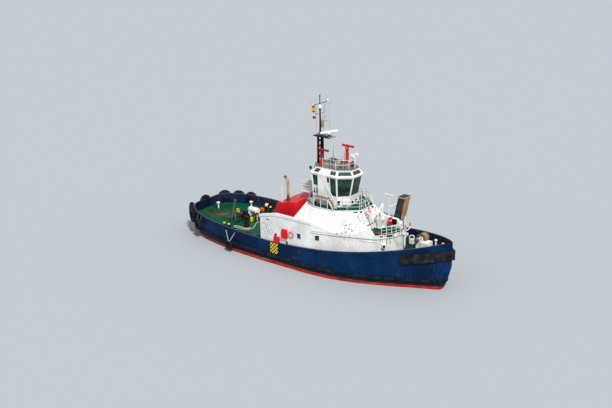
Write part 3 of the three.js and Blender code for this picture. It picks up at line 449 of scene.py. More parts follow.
def bitt_paint():
    f = Finish("bitt_paint")
    aft, fore = BITT_TOPS
    ahead = f.span(f.axis("X"), 0, 1)
    level = f.calc("SUBTRACT", f.axis("Z"), f.both(ahead, fore - aft))
    top = f.span(level, aft - 0.10, aft - 0.09)
    base = f.mix(top, BLACK, YELLOW)
    base = f.mix(f.both(f.patches(6, 7, 0.58, 0.68), 0.8), base, RUST)
    f.color(base)
    f.rough(0.4)
    f.bump(f.noise(40, 4), 0.003)
    return f.material


def mesh_screen(name, color):
    """Wire mesh: a fine grid with gaps."""
    f = Finish(name, 0.7)
    wires = [f.span(f.waves(letter, 0.09), 0.35, 0.6) for letter in "YZ"]
    f.put(f.shader.inputs["Alpha"], f.calc("MAXIMUM", wires[0], wires[1]))
    f.color(f.mix(f.both(f.patches(3, 6, 0.4, 0.6), 0.15), color, RUST))
    f.bump(f.noise(40, 4), 0.002)
    return f.material


def rope_finish(name, base, other):
    f = Finish(name, 0.9)
    lay = f.patches(1, 3, 0.45, 0.6, (55, 55, 55))
    f.color(f.mix(lay, base, other))
    f.bump(f.noise(60, 4), 0.006)
    return f.material


def checker():
    f = Finish("checker_patch", 0.45)
    node = f.new("ShaderNodeTexChecker")
    f.put(node.inputs["Vector"], f.place)
    f.put(node.inputs["Scale"], 5.2)
    f.put(node.inputs["Color1"], YELLOW)
    f.put(node.inputs["Color2"], (0.006, 0.010, 0.030, 1))
    grime = f.both(f.patches(4, 7, 0.55, 0.7), 0.6)
    f.color(f.mix(grime, node.outputs["Color"], (0.10, 0.08, 0.05, 1)))
    f.bump(f.noise(40, 4), 0.002)
    return f.material


FLAKES, RUNS = (6.6, 6.6, 6.6), (6.5, 6.5, 1.1)
WORST = [
    ((-3.4, -4.7, 3.7), 1.5, shade(SOOT, 2.5), FLAKES),
    ((5.75, -3.0, 5.05), 1.7, (0.17, 0.13, 0.10, 1), (5.4, 5.4, 5.4)),
    ((9.66, -1.35, 4.35), 1.7, (0.11, 0.060, 0.025, 1), RUNS),
    ((9.95, -0.5, 4.3), 1.3, (0.16, 0.13, 0.10, 1), RUNS),
    ((-3.4, 4.7, 3.7), 1.3, shade(RUST, 0.45), FLAKES),
    ((9.7, 1.3, 4.1), 1.0, RUST, RUNS),
]
# After its colour a paint has its rust, dirt and chips
PAINTS = {
    "white": painted("white_paint", WHITE, 0.5, 0.2, 0.7, worst=WORST),
    "bitt": bitt_paint(),
    "wing_top": painted("wing_top", (0.20, 0.15, 0.10, 1), 0.9, 0.7, 0.9, edge=0),
    "roof_top": thin_paint("roof_top", (0.15, 0.155, 0.13, 1), 0.7, 0.6, 0.6, gloss=0.06),
    "screen": mesh_screen("platform_mesh", (0.44, 0.41, 0.36, 1)),
    "orange": plain("lifebuoy_shell", ORANGE, 0.4, vary=0.75, grain=20, bump=0.002),
    "pale_orange": plain("old_lifebuoy_shell", (0.62, 0.30, 0.22, 1), vary=0.75, grain=20, bump=0.002),
    # Near-black for vent openings, freeing slots, lamp faces, door recesses and a doorway: painted shade
    # inside them
    "dark": plain("painted_shade_opening", (0.012, 0.012, 0.013, 1), 0.7, grain=20),
    "buff": plain("buff_paint", (0.42, 0.25, 0.12, 1), grain=20),
    "roof_green": plain("roof_gear_green", (0.10, 0.14, 0.11, 1), 0.6, vary=0.5, grain=25),
    "roof_gray": plain("roof_gear_grey", (0.30, 0.31, 0.30, 1), 0.6, vary=0.6, grain=25),
    "frame_gray": painted("frame_grey", (0.09, 0.085, 0.10, 1), 0.6, 0.3, 0.7, dents=0, gloss=0.06),
    "frame_pale": thin_paint("chain_galvanised", (0.42, 0.42, 0.40, 1), 0.6, 0.4, 0.6),
    "pole_gray": plain("aerial_grey", (0.42, 0.43, 0.43, 1), grain=25),
    "rusty": thin_paint("rusty_steel", (0.30, 0.16, 0.08, 1), 0.8, 0.5, 0.8),
    "old_red": painted("old_red_paint", OLD_RED, 0.5, 0.35, 0.5, dents=0),
    "skylight": plain("skylight_glass", (0.055, 0.075, 0.070, 1), 0.25, grain=12, bump=0.001),
    "cap": thin_paint("bulwark_cap", (0.030, 0.050, 0.095, 1), 0.7, 0.5, 0.9),
    "white_rail": thin_paint("white_rail", WHITE, 0.8, 0.5, 0.8),
    "gear_white": painted("gear_white", WHITE, 0.5, 0.35, 0.4, dents=0),
    "red": painted("red_paint", RED, 0.25, 0.18, 0.3, rough=0.35),
    "mast": thin_paint("mast_paint", MAST_RED, 0.3, 0.2, 0.4, gloss=0.05),
    "black": painted("black_paint", BLACK, 0.5, 0.25, 0.5, dents=0, gloss=0.05),
    "yellow": painted("yellow_paint", YELLOW, 0.5, 0.35, 0.6, dents=0),
    "gray": painted("grey_steel", (0.10, 0.10, 0.105, 1), 0.6, 0.5, 0.7, dents=0, gloss=0.08),
    "pod": painted("pod_antifoul", (0.20, 0.030, 0.016, 1), 0.5, 0.7, 0.8, dents=0),
    "hull": hull_side(),
    "inner": bulwark_inside(),
    "deck": deck_paint("deck_green"),
    "aft_deck": deck_paint("aft_deck_green", (-14.4, -0.6, 1.83)),
    "rubber": rubber("fender_rubber", ribs=1.25),
    "tyre": rubber("tyre_rubber", gray=0.9),
    "glass": glass(),
    "small_glass": dark_glass(),
    "funnel": funnel_paint(),
    "pipe": pipe_paint(),
    "plastic": plain("console_plastic", (0.035, 0.038, 0.042, 1), 0.45, grain=60, bump=0.001),
    "leather": plain("seat_leather", (0.020, 0.020, 0.022, 1), grain=110, bump=0.002),
    "raft": plain("raft_shell", (0.80, 0.80, 0.78, 1), 0.3, vary=0.86, grain=12, bump=0.002),
    "bronze": plain("propeller_bronze", (0.55, 0.33, 0.12, 1), 0.32, 0.9, grain=14),
    "lamp": plain("lamp_glass", (0.75, 0.78, 0.80, 1), 0.08, vary=0.9, grain=20, bump=0.001),
    "rope": rope_finish("tow_rope", (0.36, 0.24, 0.11, 1), (0.14, 0.085, 0.04, 1)),
    "white_rope": rope_finish("white_rope", (0.74, 0.74, 0.70, 1), (0.42, 0.42, 0.38, 1)),
    "orange_rope": rope_finish("orange_rope", (0.72, 0.22, 0.04, 1), (0.42, 0.12, 0.03, 1)),
    "red_rope": rope_finish("red_rope", (0.58, 0.14, 0.08, 1), (0.30, 0.06, 0.04, 1)),
    "checker": checker(),
}


# Shapes
SHARP_EDGE = math.radians(38)


def add_object(name, data):
    made = bpy.data.objects.new(name, data)
    bpy.context.scene.collection.objects.link(made)
    return made


def angles(count):
    """Even angles round a circle."""
    return [2 * math.pi * k / count for k in range(count)]


def square_to(axis):
    """The axis made one long, and two ways square to it and to each other."""
    axis = Vector(axis).normalized()
    up = axis.orthogonal().normalized()
    return axis, up, axis.cross(up)


class Shape:
    """Points and faces gathered for one piece, in metres on the boat."""

    def __init__(self):
        self.points = []
        self.faces = []

    def add(self, points, faces):
        base = len(self.points)
        self.points += [tuple(p) for p in points]
        self.faces += [[base + i for i in face] for face in faces]
        return self

    def skin(self, rings, caps=True):
        n = len(rings[0])
        points = [p for ring in rings for p in ring]
        faces = []
        for i in range(len(rings) - 1):
            for j in range(n):
                a, b = i * n + j, i * n + (j + 1) % n
                faces.append([a, b, b + n, a + n])
        if caps:
            faces.append(list(range(n))[::-1])
            faces.append([(len(rings) - 1) * n + j for j in range(n)])
        return self.add(points, faces)

    def box(self, low, high):
        (x0, y0, z0), (x1, y1, z1) = low, high
        ring = lambda z: [(x0, y0, z), (x1, y0, z), (x1, y1, z), (x0, y1, z)]
        return self.skin([ring(z0), ring(z1)])

    def tube(self, path, radius, sides=8, caps=True):
        path = [Vector(p) for p in path]
        rings = []
        up = None
        for i, p in enumerate(path):
            a, b = path[max(i - 1, 0)], path[min(i + 1, len(path) - 1)]
            along = (b - a).normalized()
            if up is None:
                up = along.orthogonal().normalized()
            up = (up - along * up.dot(along)).normalized()
            side = along.cross(up)
            r = radius[i] if isinstance(radius, (list, tuple)) else radius
            rings.append([p + (up * math.cos(t) + side * math.sin(t)) * r for t in angles(sides)])
        return self.skin(rings, caps=caps)

    def turned(self, centre, axis, profile, sides=24, caps=True):
        """A profile of (radius, distance along the axis) turned about an axis."""
        axis, up, side = square_to(axis)
        ways = [up * math.cos(t) + side * math.sin(t) for t in angles(sides)]
        rings = [[Vector(centre) + axis * d + way * max(r, 1e-4) for way in ways] for r, d in profile]
        return self.skin(rings, caps=caps)

    def torus(self, centre, axis, radius, thick, around=32, sides=10):
        axis, up, side = square_to(axis)
        rings = []
        for t in angles(around) + [2 * math.pi]:
            out = up * math.cos(t) + side * math.sin(t)
            middle = [Vector(centre) + out * (radius + thick * math.cos(u)) for u in angles(sides)]
            rings.append([p + axis * thick * math.sin(u) for p, u in zip(middle, angles(sides))])
        return self.skin(rings, caps=False)

    def panel(self, middle, out, width, height, thick):
        """A flat box on a wall at middle, facing out, its back 1 cm inside the wall."""
        out = Vector(out).normalized()
        along = UP.cross(out) if abs(out.z) < 0.99 else Vector((1, 0, 0))
        along = along.normalized()
        up = out.cross(along)
        rings = []
        for depth in (-0.01, thick):
            base = Vector(middle) + out * depth
            rings.append([base + along * (u * width / 2) + up * (v * height / 2) for u, v in CORNERS])
        return self.skin(rings)

    def ladder(self, foot, top, across, rungs, r=0.025):
        """Two stringers with rungs between; across is half the width, as a vector."""
        foot, top, across = Vector(foot), Vector(top), Vector(across)
        for s in (-1, 1):
            self.tube([foot + across * s, top + across * s], r, 6)
        for i in range(rungs):
            p = foot.lerp(top, (i + 0.5) / rungs)
            self.tube([p - across, p + across], r * 0.7, 6)
        return self

    def chain(self, a, b, link, r):
        """Links from a to b, each turned a quarter from the last."""
        a, b = Vector(a), Vector(b)
        along = (b - a).normalized()
        up = along.orthogonal().normalized()
        n = max(2, round((b - a).length / (link * 0.78)))
        for i in range(n):
            middle = a.lerp(b, (i + 0.5) / n)
            flat = up if i % 2 else along.cross(up)
            half, wide = link / 2, link * 0.3
            turns = angles(8) + [2 * math.pi]
            path = [middle + along * (half * math.cos(t)) + flat * (wide * math.sin(t)) for t in turns]
            self.tube(path, r, 5, caps=False)
        return self

    def tyre(self, middle, axis, radius, width):
        """A tyre with a tread groove each side of its middle, about its axle."""
        wall = [(0.50, 0.62), (0.56, 0.84), (0.70, 1.0), (0.88, 0.98), (0.97, 0.80), (1.0, 0.58)]
        wall += [(1.0, 0.36), (0.965, 0.30), (1.0, 0.24)]
        profile = [(r, -d) for r, d in wall] + wall[::-1] + [(0.50, -0.62)]
        sized = [(r * radius, d * width / 2) for r, d in profile]
        return self.turned(middle, axis, sized, 40, caps=False)

    def make(self, name, paint, body="vessel"):
        mesh = bpy.data.meshes.new(name)
        mesh.from_pydata(self.points, [], self.faces)
        mesh.validate()
        whole = bmesh.new()
        whole.from_mesh(mesh)
        bmesh.ops.recalc_face_normals(whole, faces=whole.faces)
        whole.to_mesh(mesh)
        whole.free()
        mesh.materials.append(PAINTS[paint] if isinstance(paint, str) else paint)
        made = add_object(name, mesh)
        mesh.shade_smooth()
        mesh.set_sharp_from_angle(angle=SHARP_EDGE)
        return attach(made, body)


# The solids take their finishes. Those not named here are red on the monitors and white elsewhere
COATS = {
    "rubber": ["rubbing_strake", "bow_fender"],
    "red": ["hose_cabinet"],
    "pipe": ["exhaust_pipe_starboard", "exhaust_pipe_port"],
    "plastic": ["helm_station"],
    "leather": ["helm_chair"],
    "mast": ["mast"],
    "funnel": ["funnel"],
    "gray": ["winch_drum"],
    "yellow": ["towing_hook"],
    "black": ["capstan"],
    "raft": ["liferaft"],
    "old_red": ["monitor_fork_aft", "monitor_barrel_aft"],
    "pod": ["thruster_port", "thruster_starboard"],
    "bronze": ["propeller_port", "propeller_starboard"],
    "white_rail": ["bridge_rail_port", "bridge_rail_starboard", "boat_deck_rail", "roof_rail"],
}
COATS["white_rail"] += ["aft_platform", "bridge_ladder"]
for name, node in nodes.items():
    usual = "red" if name.startswith("monitor_") else "white"
    paint = next((coat for coat, names in COATS.items() if name in names), usual)
    node.data.materials.clear()
    node.data.materials.append(PAINTS[paint])


def by_face(name, paints, pick):
    """Each face of a solid takes a finish, picked by its middle and its normal."""
    mesh = nodes[name].data
    mesh.materials.clear()
    for paint in paints:
        mesh.materials.append(PAINTS[paint])
    for face in mesh.polygons:
        face.material_index = paints.index(pick(face.center, face.normal))


def close_to(p, spots, reach):
    return any(math.hypot(p.x - x, p.y - y) < reach for x, y in spots)


# Heights where a finish changes
BRIDGE_WALK, WING_TOP = 6.5, 7.35
GLASS_TOP, RISER_FOOT, RISER_NECK = 9.62, 10.26, 10.95


def hull_face(p, n):
    deck = deck_z(p.x)
    inboard = abs(p.y + 0.3 * n.y) < half_beam(p.x + 0.3 * n.x) - 0.03
    proud = p.z > deck + 0.03
    if p.z > deck - 0.4 and close_to(p, VENTS, 0.32):
        return "gear_white" if p.z > deck + 0.02 else "aft_deck"
    if proud and close_to(p, [CAPSTAN], 0.4):
        return "black"
    if proud and close_to(p, BITTS, 0.45) and abs(p.y) < half_beam(p.x) - 0.2:
        return "bitt"
    if n.z > 0.85 and abs(p.z - deck) < 0.15:
        return "aft_deck"
    if p.z > deck and inboard and n.z < 0.85:
        return "inner"
    return "hull"


def boat_deck_face(p, n):
    return "deck" if n.z > 0.9 and abs(p.z - BOAT_DECK) < 0.05 else "white"


def casing_face(p, n):
    return "gear_white" if close_to(p, [(-2.95, -2.62)], 0.1) and p.z > 5.4 and n.z < 0.9 else "red"


def towing_face(p, n):
    return "black" if p.z < deck_z(p.x) + 0.2 or p.y > -0.2 else "frame_gray"


def bridge_face(p, n):
    if n.z < 0.9:
        return "white"
    if p.z < BRIDGE_WALK:
        return "deck"
    if p.z > WING_TOP:
        return "wing_top"
    return "rusty" if p.x > 3.0 else "white"


by_face("hull", ["hull", "inner", "aft_deck", "black", "bitt", "gear_white"], hull_face)
by_face("boat_deck", ["white", "deck"], boat_deck_face)
by_face("bridge_deck", ["white", "deck", "wing_top", "rusty"], bridge_face)
by_face("exhaust_casing", ["red", "gear_white"], casing_face)
by_face("towing_frame", ["frame_gray", "black"], towing_face)
by_face("wheelhouse_roof", ["white", "roof_top"], lambda p, n: "roof_top" if n.z > 0.9 else "white")
by_face(
    "monitor_riser_fore", ["red", "gear_white"], lambda p, n: "gear_white" if p.z < RISER_FOOT else "red"
)
by_face("monitor_riser_aft", ["red", "old_red"], lambda p, n: "old_red" if p.z > RISER_NECK else "red")
by_face("wheelhouse_glass", ["glass", "skylight"], lambda p, n: "skylight" if p.z > GLASS_TOP else "glass")


WELD = 0.0004
ROUND_BELOW = math.radians(34)


def soften():
    """Welds the faces of a solid: smooth where it is round, sharp at its corners."""
    group = bpy.data.node_groups.new("soften", "GeometryNodeTree")
    for way in ("INPUT", "OUTPUT"):
        group.interface.new_socket("Geometry", in_out=way, socket_type="NodeSocketGeometry")
    new = group.nodes.new
    start, end = new("NodeGroupInput"), new("NodeGroupOutput")
    weld = new("GeometryNodeMergeByDistance")
    weld.inputs["Distance"].default_value = WELD
    plain_normals = new("GeometryNodeRemoveAttribute")
    plain_normals.inputs["Name"].default_value = "custom_normal"
    smooth, sharp = new("GeometryNodeSetShadeSmooth"), new("GeometryNodeSetShadeSmooth")
    smooth.domain, sharp.domain = "FACE", "EDGE"
    angle, gentle = new("GeometryNodeInputMeshEdgeAngle"), new("FunctionNodeCompare")
    gentle.operation = "LESS_THAN"
    gentle.inputs[1].default_value = ROUND_BELOW
    link = group.links.new
    link(start.outputs[0], weld.inputs["Geometry"])
    link(weld.outputs[0], plain_normals.inputs["Geometry"])
    link(plain_normals.outputs[0], smooth.inputs["Geometry"])
    link(smooth.outputs[0], sharp.inputs["Geometry"])
    link(angle.outputs["Unsigned Angle"], gentle.inputs[0])
    link(gentle.outputs[0], sharp.inputs["Shade Smooth"])
    link(sharp.outputs[0], end.inputs[0])
    return group


softened = soften()
for node in nodes.values():
    node.modifiers.new("soften", "NODES").node_group = softened

# Ropes that lie on the aft deck: node, diameter, finish, steps from place to place, places
MOORING = [
    (-8.76, -1.40), (-8.56, -1.56), (-8.82, -1.90), (-9.30, -1.96), (-9.80, -1.98),
    (-10.15, -2.16), (-10.06, -2.42), (-9.50, -2.33), (-8.80, -2.20), (-8.36, -1.80),
    (-8.30, -1.25), (-8.56, -0.70), (-8.90, -0.18), (-9.02, 0.45),
]
TAG = [(-9.35, -2.75), (-9.10, -2.56), (-8.75, -2.48), (-8.45, -2.25), (-8.18, -2.02)]
STERN = [(-14.10, -0.98), (-13.80, -0.94), (-13.50, -0.66), (-13.33, -0.26), (-13.23, 0.19)]
ROPES = [
    ("mooring_rope", 0.064, "white_rope", 3, MOORING),
    ("tag_line", 0.048, "orange_rope", 5, TAG),
    ("stern_line", 0.056, "red_rope", 5, STERN),
]
ROPE_GAP = 0.0004


def smooth_path(places, steps):
    """Points on a smooth curve through the places."""
    ends = [places[0] * 2 - places[1]] + places + [places[-1] * 2 - places[-2]]
    path = []
    for a, b, c, d in zip(ends, ends[1:], ends[2:], ends[3:]):
        for k in range(steps):
            t = k / steps
            lead = b * 2 + (c - a) * t
            path.append((lead + (a * 2 - b * 5 + c * 4 - d) * t**2 + (b * 3 - a - c * 3 + d) * t**3) / 2)
    return path + [places[-1]]


for name, across, paint, steps, places in ROPES:
    lift = across / 2 * math.cos(math.pi / 8) + ROPE_GAP
    route = smooth_path([Vector((x, y, deck_z(x) + lift)) for x, y in places], steps)
    rope = Shape().tube(route, across / 2 * 0.985, 12).make(f"{name}_lay", paint)
    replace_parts(rope, name)
    run = sum((b - a).length for a, b in zip(route, route[1:]))

# Tyres and chains. Stern tyres: place along the hull, side, height, share of the full radius
STERN_TYRES = [(-13.5, -1, 1.70, 0.68), (-14.8, -1, 2.35, 1), (-15.9, -1, 2.45, 1), (0, 0, 2.50, 1)]
STERN_TYRES += [(-15.9, 1, 2.45, 1), (-14.8, 1, 2.35, 1), (-13.5, 1, 2.35, 0.9)]
TYRE_R, TYRE_OFF = 0.82, 0.29
tyres, chains = Shape(), Shape()
for x, hand, z, share in STERN_TYRES:
    place, out = outline(x, hand) if hand else (Vector((-16.34, 0, 0)), Vector((-1, 0, 0)))
    middle = place + out * TYRE_OFF + UP * z
    tyres.tyre(middle, out, TYRE_R * share * 0.99, 0.39)
    along = out.cross(UP)
    for s in (-1, 1):
        low = middle + along * (s * 0.28) + UP * (TYRE_R * share * 0.72)
        rim = place + along * (s * 0.45) - out * 0.05 + UP * (bulwark_top(max(x, -16.3)) - 0.02)
        chains.chain(low - out * 0.05, rim + UP * 0.03, 0.19, 0.022)
BELT_X, BELT_Z = (-13.1, -13.8, -14.5, -15.1, -15.6, -16.0, -16.25), 1.95
belt = []
for hand in (-1, 1):
    run = [outline(x, hand, 0.12)[0] + UP * BELT_Z for x in BELT_X]
    belt += run if hand < 0 else [Vector((-16.62, 0, BELT_Z))] + run[::-1]
tyres.tube(belt, 0.085, 8)
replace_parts(tyres.make("stern_tyre_ring", "tyre"), "stern_tyres")
chains.make("stern_tyre_chains", "frame_gray")
for hand, label in ((-1, "starboard"), (1, "port")):
    x, y = -8.3, half_beam(-8.3)
    ring = Shape().tyre((x, hand * (y + 0.31), 0.76), (0, 1, 0), 0.485, 0.29)
    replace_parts(ring.make(f"side_tyre_ring_{label}", "tyre"), f"side_tyre_{label}")
    hung = Shape()
    for s in (-1, 1):
        low, high = (x + s * 0.06, hand * (y + 0.33), 1.15), (x + s * 0.62, hand * (y + 0.01), 2.21)
        hung.chain(low, high, 0.13, 0.022)
    hung.make(f"side_tyre_chains_{label}", "frame_pale")

# Hull: stays inside the bulwark, its capping rail, and the chequered patch on each side
STAY_X = [-15.2 + 1.05 * k for k in range(11)] + [9.6, 10.6, 11.6, 12.6, 13.5]
CAPPING_X = [-16.1 + 0.5 * k for k in range(64)]
CAPPING_R = 0.055
stays, capping = Shape(), Shape()
for hand in (-1, 1):
    for x in STAY_X:
        (top, out), z = outline(x, hand, -0.13), deck_z(x)
        along = out.cross(UP) * 0.012
        corners = ((0.02, z), (0.34, z), (0.06, z + 1.0), (0.0, z + 1.0))
        foot = [top - out * d + UP * h for d, h in corners]
        stays.skin([[p - along for p in foot], [p + along for p in foot]])
    rim = [outline(x, hand, -CAPPING_R)[0] + UP * (bulwark_top(x) + 0.005) for x in CAPPING_X]
    capping.tube(rim, CAPPING_R, 6)
stays.make("bulwark_stays", "inner")
capping.make("bulwark_capping", "cap")
patch = Shape()
for hand in (-1, 1):
    patch.panel((-2.25, hand * 4.9, 1.75), (0, hand, 0), 1.0, 1.15, 0.008)
patch.make("chequered_patches", "checker")

# Deckhouse sides: boxes, lifebuoy, vents, windows
# The side turns in forward of TURN_X, where one window lies at SLOPE_X
TURN_X, SLOPE_X = 2.5, 3.10
PORTHOLE_X, PORTHOLE_Z = -4.2, 3.1
boxes, buoys, vents, frames, panes, white = (Shape() for _ in range(6))
for hand in (-1, 1):
    out = (0, hand, 0)
    y = hand * SIDE_Y
    boxes.panel((-1.93, y, 2.73), out, 0.66, 0.62, 0.22).panel((-0.88, y, 3.57), out, 0.64, 0.95, 0.26)
    boxes.panel((-0.88, y + hand * 0.26, 3.57), out, 0.56, 0.86, 0.03)
    buoys.torus((-0.06, y + hand * 0.08, 3.66), out, 0.30, 0.065)
    # The vents are near-black: painted shade in their openings
    vents.turned((-2.12, y, 3.21), out, [(0.12, -0.02), (0.12, 0.10), (0.02, 0.10)], 16)
    vents.panel((-0.67, y, 2.60), out, 0.18, 0.42, 0.03).panel((-3.2, y, 4.62), out, 0.34, 0.07, 0.02)
    slope = Vector((0.281, hand * 0.960, 0))
    slope_spot = (SLOPE_X, hand * (SIDE_Y - 0.79 * (SLOPE_X - TURN_X) / 2.7), 3.95)
    for spot, way in (((0.93, y, 3.72), Vector(out)), (slope_spot, slope)):
        frames.panel(spot, way, 0.52, 0.60, 0.035)
        panes.panel(Vector(spot) + way * 0.034, way, 0.42, 0.50, 0.012)
    white.panel((8.15, hand * 2.735, 4.16), (0.367, hand * 0.930, 0), 1.4, 0.05, 0.05)
for y in (-2.6, 1.2, 2.6):
    spot = (PORTHOLE_X, y, PORTHOLE_Z)
    frames.turned(spot, (-1, 0, 0), [(0.22, -0.01), (0.22, 0.04), (0.18, 0.05)], 20)
    panes.turned(spot, (-1, 0, 0), [(0.17, 0.0), (0.17, 0.055)], 20)
boxes.make("deckhouse_boxes", "red")
buoys.make("deckhouse_lifebuoys", "pale_orange")
vents.make("deckhouse_vents", "dark")
frames.make("deckhouse_window_frames", "gear_white")
panes.make("deckhouse_windows", "small_glass")

# Front of the deckhouse: freeing slots in the coaming, lights, pipes, fire points
SLOT_Z = 4.70
slots = Shape()
for hand in (-1, 1):
    out = Vector((0.813, hand * 0.582, 0))
    # The freeing slots are near-black panels: painted shade in the holes
    slots.panel((9.66, hand * 1.475, SLOT_Z), out, 0.58, 0.17, 0.012)
    slots.panel((9.15, hand * 2.15, SLOT_Z), out, 0.34, 0.13, 0.012)
    lamp = Vector((9.19, hand * 1.93, 3.72))
    white.panel(lamp, out, 0.34, 0.52, 0.16)
    white.turned(lamp + out * 0.16, out, [(0.16, 0), (0.20, 0.16)], 16)
    # Near-black disc inside the lamp hood: painted shade
    slots.turned(lamp + out * 0.315, out, [(0.15, 0), (0.15, 0.012)], 16)
white.tube([(10.12, 0.45, 3.2), (10.12, 0.45, 4.40)], 0.11, 12)
white.panel((10.05, 0.45, 4.42), (1, 0, 0), 0.36, 0.2, 0.2)
white.tube([(10.10, 0.7, 4.70), (10.18, 0.95, 4.72), (10.1, 1.41, 4.78), (10.1, 1.41, 5.05)], 0.05, 8)
slots.make("freeing_slots", "dark")
white.make("deckhouse_fittings", "gear_white")
cap = Shape().tube([(10.1, 1.41, 5.0), (10.1, 1.41, 5.28)], 0.07, 12)
for y in (-2.05, 2.2):
    cap.turned((8.86, y, BOAT_DECK), UP, [(0.09, 0), (0.09, 0.42), (0.03, 0.50)], 14)
cap.make("fire_points", "red")

# Tower: vents, doors, rungs, ledge
TOWER_OUT = (0.844, 0, 0.536)
marks, door, rungs, ledge = (Shape() for _ in range(4))
for hand in (-1, 1):
    # Near-black vents, and a near-black rim round each door: painted shade in the openings and the door
    # recess
    marks.panel((5.53, hand * 1.43, 6.23), (0.39, hand * 0.49, 0.78), 0.40, 0.13, 0.02)
    marks.panel((5.86, hand * 0.98, 6.20), TOWER_OUT, 0.34, 0.13, 0.02)
    marks.panel((6.20, hand * 1.42, 5.67), TOWER_OUT, 0.56, 0.95, 0.006)
    door.panel((6.20, hand * 1.42, 5.67), TOWER_OUT, 0.50, 0.89, 0.022)
for k in range(6):
    z = 4.95 + 0.22 * k
    x = 6.88 - (z - BOAT_DECK) * 1.08 / 1.7
    bar = [(0, -0.62, 0), (0.10, -0.62, 0.03), (0.10, -0.28, 0.03), (0, -0.28, 0)]
    rungs.tube([(x + dx, y, z + dz) for dx, y, dz in bar], 0.018, 6)
ledge.box((6.56, -2.30, 4.985), (6.74, 2.30, 5.02))
marks.make("tower_vents", "dark")
door.make("tower_doors", "white_rail")
rungs.make("tower_rungs", "rusty")
ledge.make("tower_ledge", "rusty")

# Wheelhouse foot: boxes, small panes, rust-brown panels of rust and painted shade; handrails; ladder and
# screen of the aft platform
boxes, dark, rails, foot, wing_rails = (Shape() for _ in range(5))
for hand in (-1, 1):
    out = (0.78, hand * 0.62, -0.07)
    boxes.panel((3.98, hand * 1.06, 6.90), out, 0.62, 0.50, 0.14)
    dark.panel((3.56, hand * 1.59, 6.86), out, 0.26, 0.46, 0.03)
    dark.panel((4.30, hand * 0.30, 6.80), (0.99, 0, -0.12), 0.22, 0.30, 0.03)
    for x in (0.66, 0.98):
        for z in (7.60, 7.94):
            dark.panel((x, hand * 1.755, z), (0, hand, 0), 0.20, 0.24, 0.03)
    # Rust-brown panels under the bridge wing: rust, with painted shade
    foot.panel((1.62, hand * 1.72, 6.86), (0, hand, 0), 0.62, 0.56, 0.03)
    foot.panel((2.62, hand * 1.70, 6.86), (0, hand, 0), 0.50, 0.50, 0.03)
    wing_bend = [(2.36, 7.39), (2.36, 8.72), (2.44, 8.70), (3.28, 7.52), (3.58, 7.05), (3.62, 6.45)]
    wing_rails.tube([(x, hand * 2.13, z) for x, z in wing_bend], 0.035, 8)
    bend = [(7.22, 4.62), (7.34, 5.2), (6.98, 6.3), (6.62, 7.4)]
    bend += [(6.42, 7.81), (6.05, 8.02), (5.79, 7.95), (5.79, 6.46)]
    rails.tube([(x, hand * 0.33 - 0.5, z) for x, z in bend], 0.026, 8)
boxes.make("wheelhouse_boxes", "gear_white")
dark.make("wheelhouse_small_panes", "small_glass")
foot.make("wheelhouse_foot_panels", "rusty")
rails.make("ladder_handrails", "white_rail")
wing_rails.make("wing_handrails", "white_rail")
Shape().torus((6.83, -0.86, 6.60), (0.80, 0.35, 0.45), 0.26, 0.05).make("ladder_lifebuoy", "red")
ladder = Shape().ladder((-2.42, -0.62, 6.06), (-1.46, -0.62, 7.10), (0, 0.28, 0), 5)
ladder.make("platform_ladder", "white_rail")
mesh_panel = Shape().panel((-1.45, 0, 7.50), (-1, 0, 0), 2.26, 0.72, 0.004)
mesh_panel.make("platform_screen", "screen")

# Mast: aerials, lamps, brackets
pale, lamps, buff = Shape(), Shape(), Shape()
MAST_X, GUARD_Z = 0.1, 12.98
for y, z0, z1 in ((-0.06, 16.2, 17.05), (0.92, 16.2, 17.05), (-1.28, 16.2, 16.6), (1.39, 13.2, 16.3)):
    pale.tube([(MAST_X + 0.08, y, z0), (MAST_X + 0.08, y, z1)], 0.022, 6)
for y in (-1.2, 1.25):
    lamps.turned((MAST_X, y, 16.22), UP, [(0.09, 0), (0.09, 0.2), (0.03, 0.24)], 12)
lamps.turned((MAST_X, 0, 15.70), UP, [(0.15, 0), (0.17, 0.05), (0.17, 0.30), (0.10, 0.40)], 16)
for z in (15.19, 14.71, 14.25):
    pale.tube([(MAST_X, 0.05, z), (MAST_X, 1.34, z)], 0.028, 6)
    pale.panel((MAST_X + 0.05, 0.75, z), (1, 0, 0), 0.5, 0.09, 0.05)
buff.box((MAST_X + 0.02, 0.04, 13.75), (MAST_X + 0.26, 0.30, 14.50))
for y in (-0.51, 0.51):
    guard = [(-0.53, GUARD_Z), (-0.53, 13.20), (1.45, 13.20), (1.45, GUARD_Z)]
    pale.tube([(MAST_X + x, y, z) for x, z in guard], 0.02, 6)
for x in (MAST_X + 1.46, MAST_X - 0.52):
    pale.tube([(x, -0.5, 12.97), (x, 0.5, 12.97)], 0.045, 6)
pale.make("mast_aerials", "pole_gray")
lamps.make("mast_lamps", "lamp")
buff.make("mast_lamp_box", "buff")

# Roof: aerials by place and top; boxes by middle, length, width and height; cables, dome, hydrant
AERIALS = [(1.72, 0.05, 12.05), (0.75, 1.25, 11.3), (2.9, 1.0, 11.6), (2.2, -1.1, 11.4)]
AERIALS += [(3.5, -0.7, 11.2)]
GREEN_BOXES = [(1.9, 0.6, 0.9, 0.5, 0.30), (0.9, 0.9, 0.6, 0.5, 0.25)]
GRAY_BOXES = [(2.7, -0.9, 0.5, 0.5, 0.42), (3.55, -0.1, 0.4, 0.5, 0.34)]
GRAY_BOXES += [(1.7, -1.15, 0.5, 0.35, 0.28), (3.75, -0.45, 0.3, 0.3, 0.5)]
poles, green, gray, dome = (Shape() for _ in range(4))
for x, y, z in AERIALS:
    poles.tube([(x, y, ROOF_TOP), (x, y, z)], [0.035, 0.016], 6)
for shape, places in ((green, GREEN_BOXES), (gray, GRAY_BOXES)):
    for x, y, w, d, h in places:
        shape.box((x - w / 2, y - d / 2, ROOF_TOP), (x + w / 2, y + d / 2, ROOF_TOP + h))
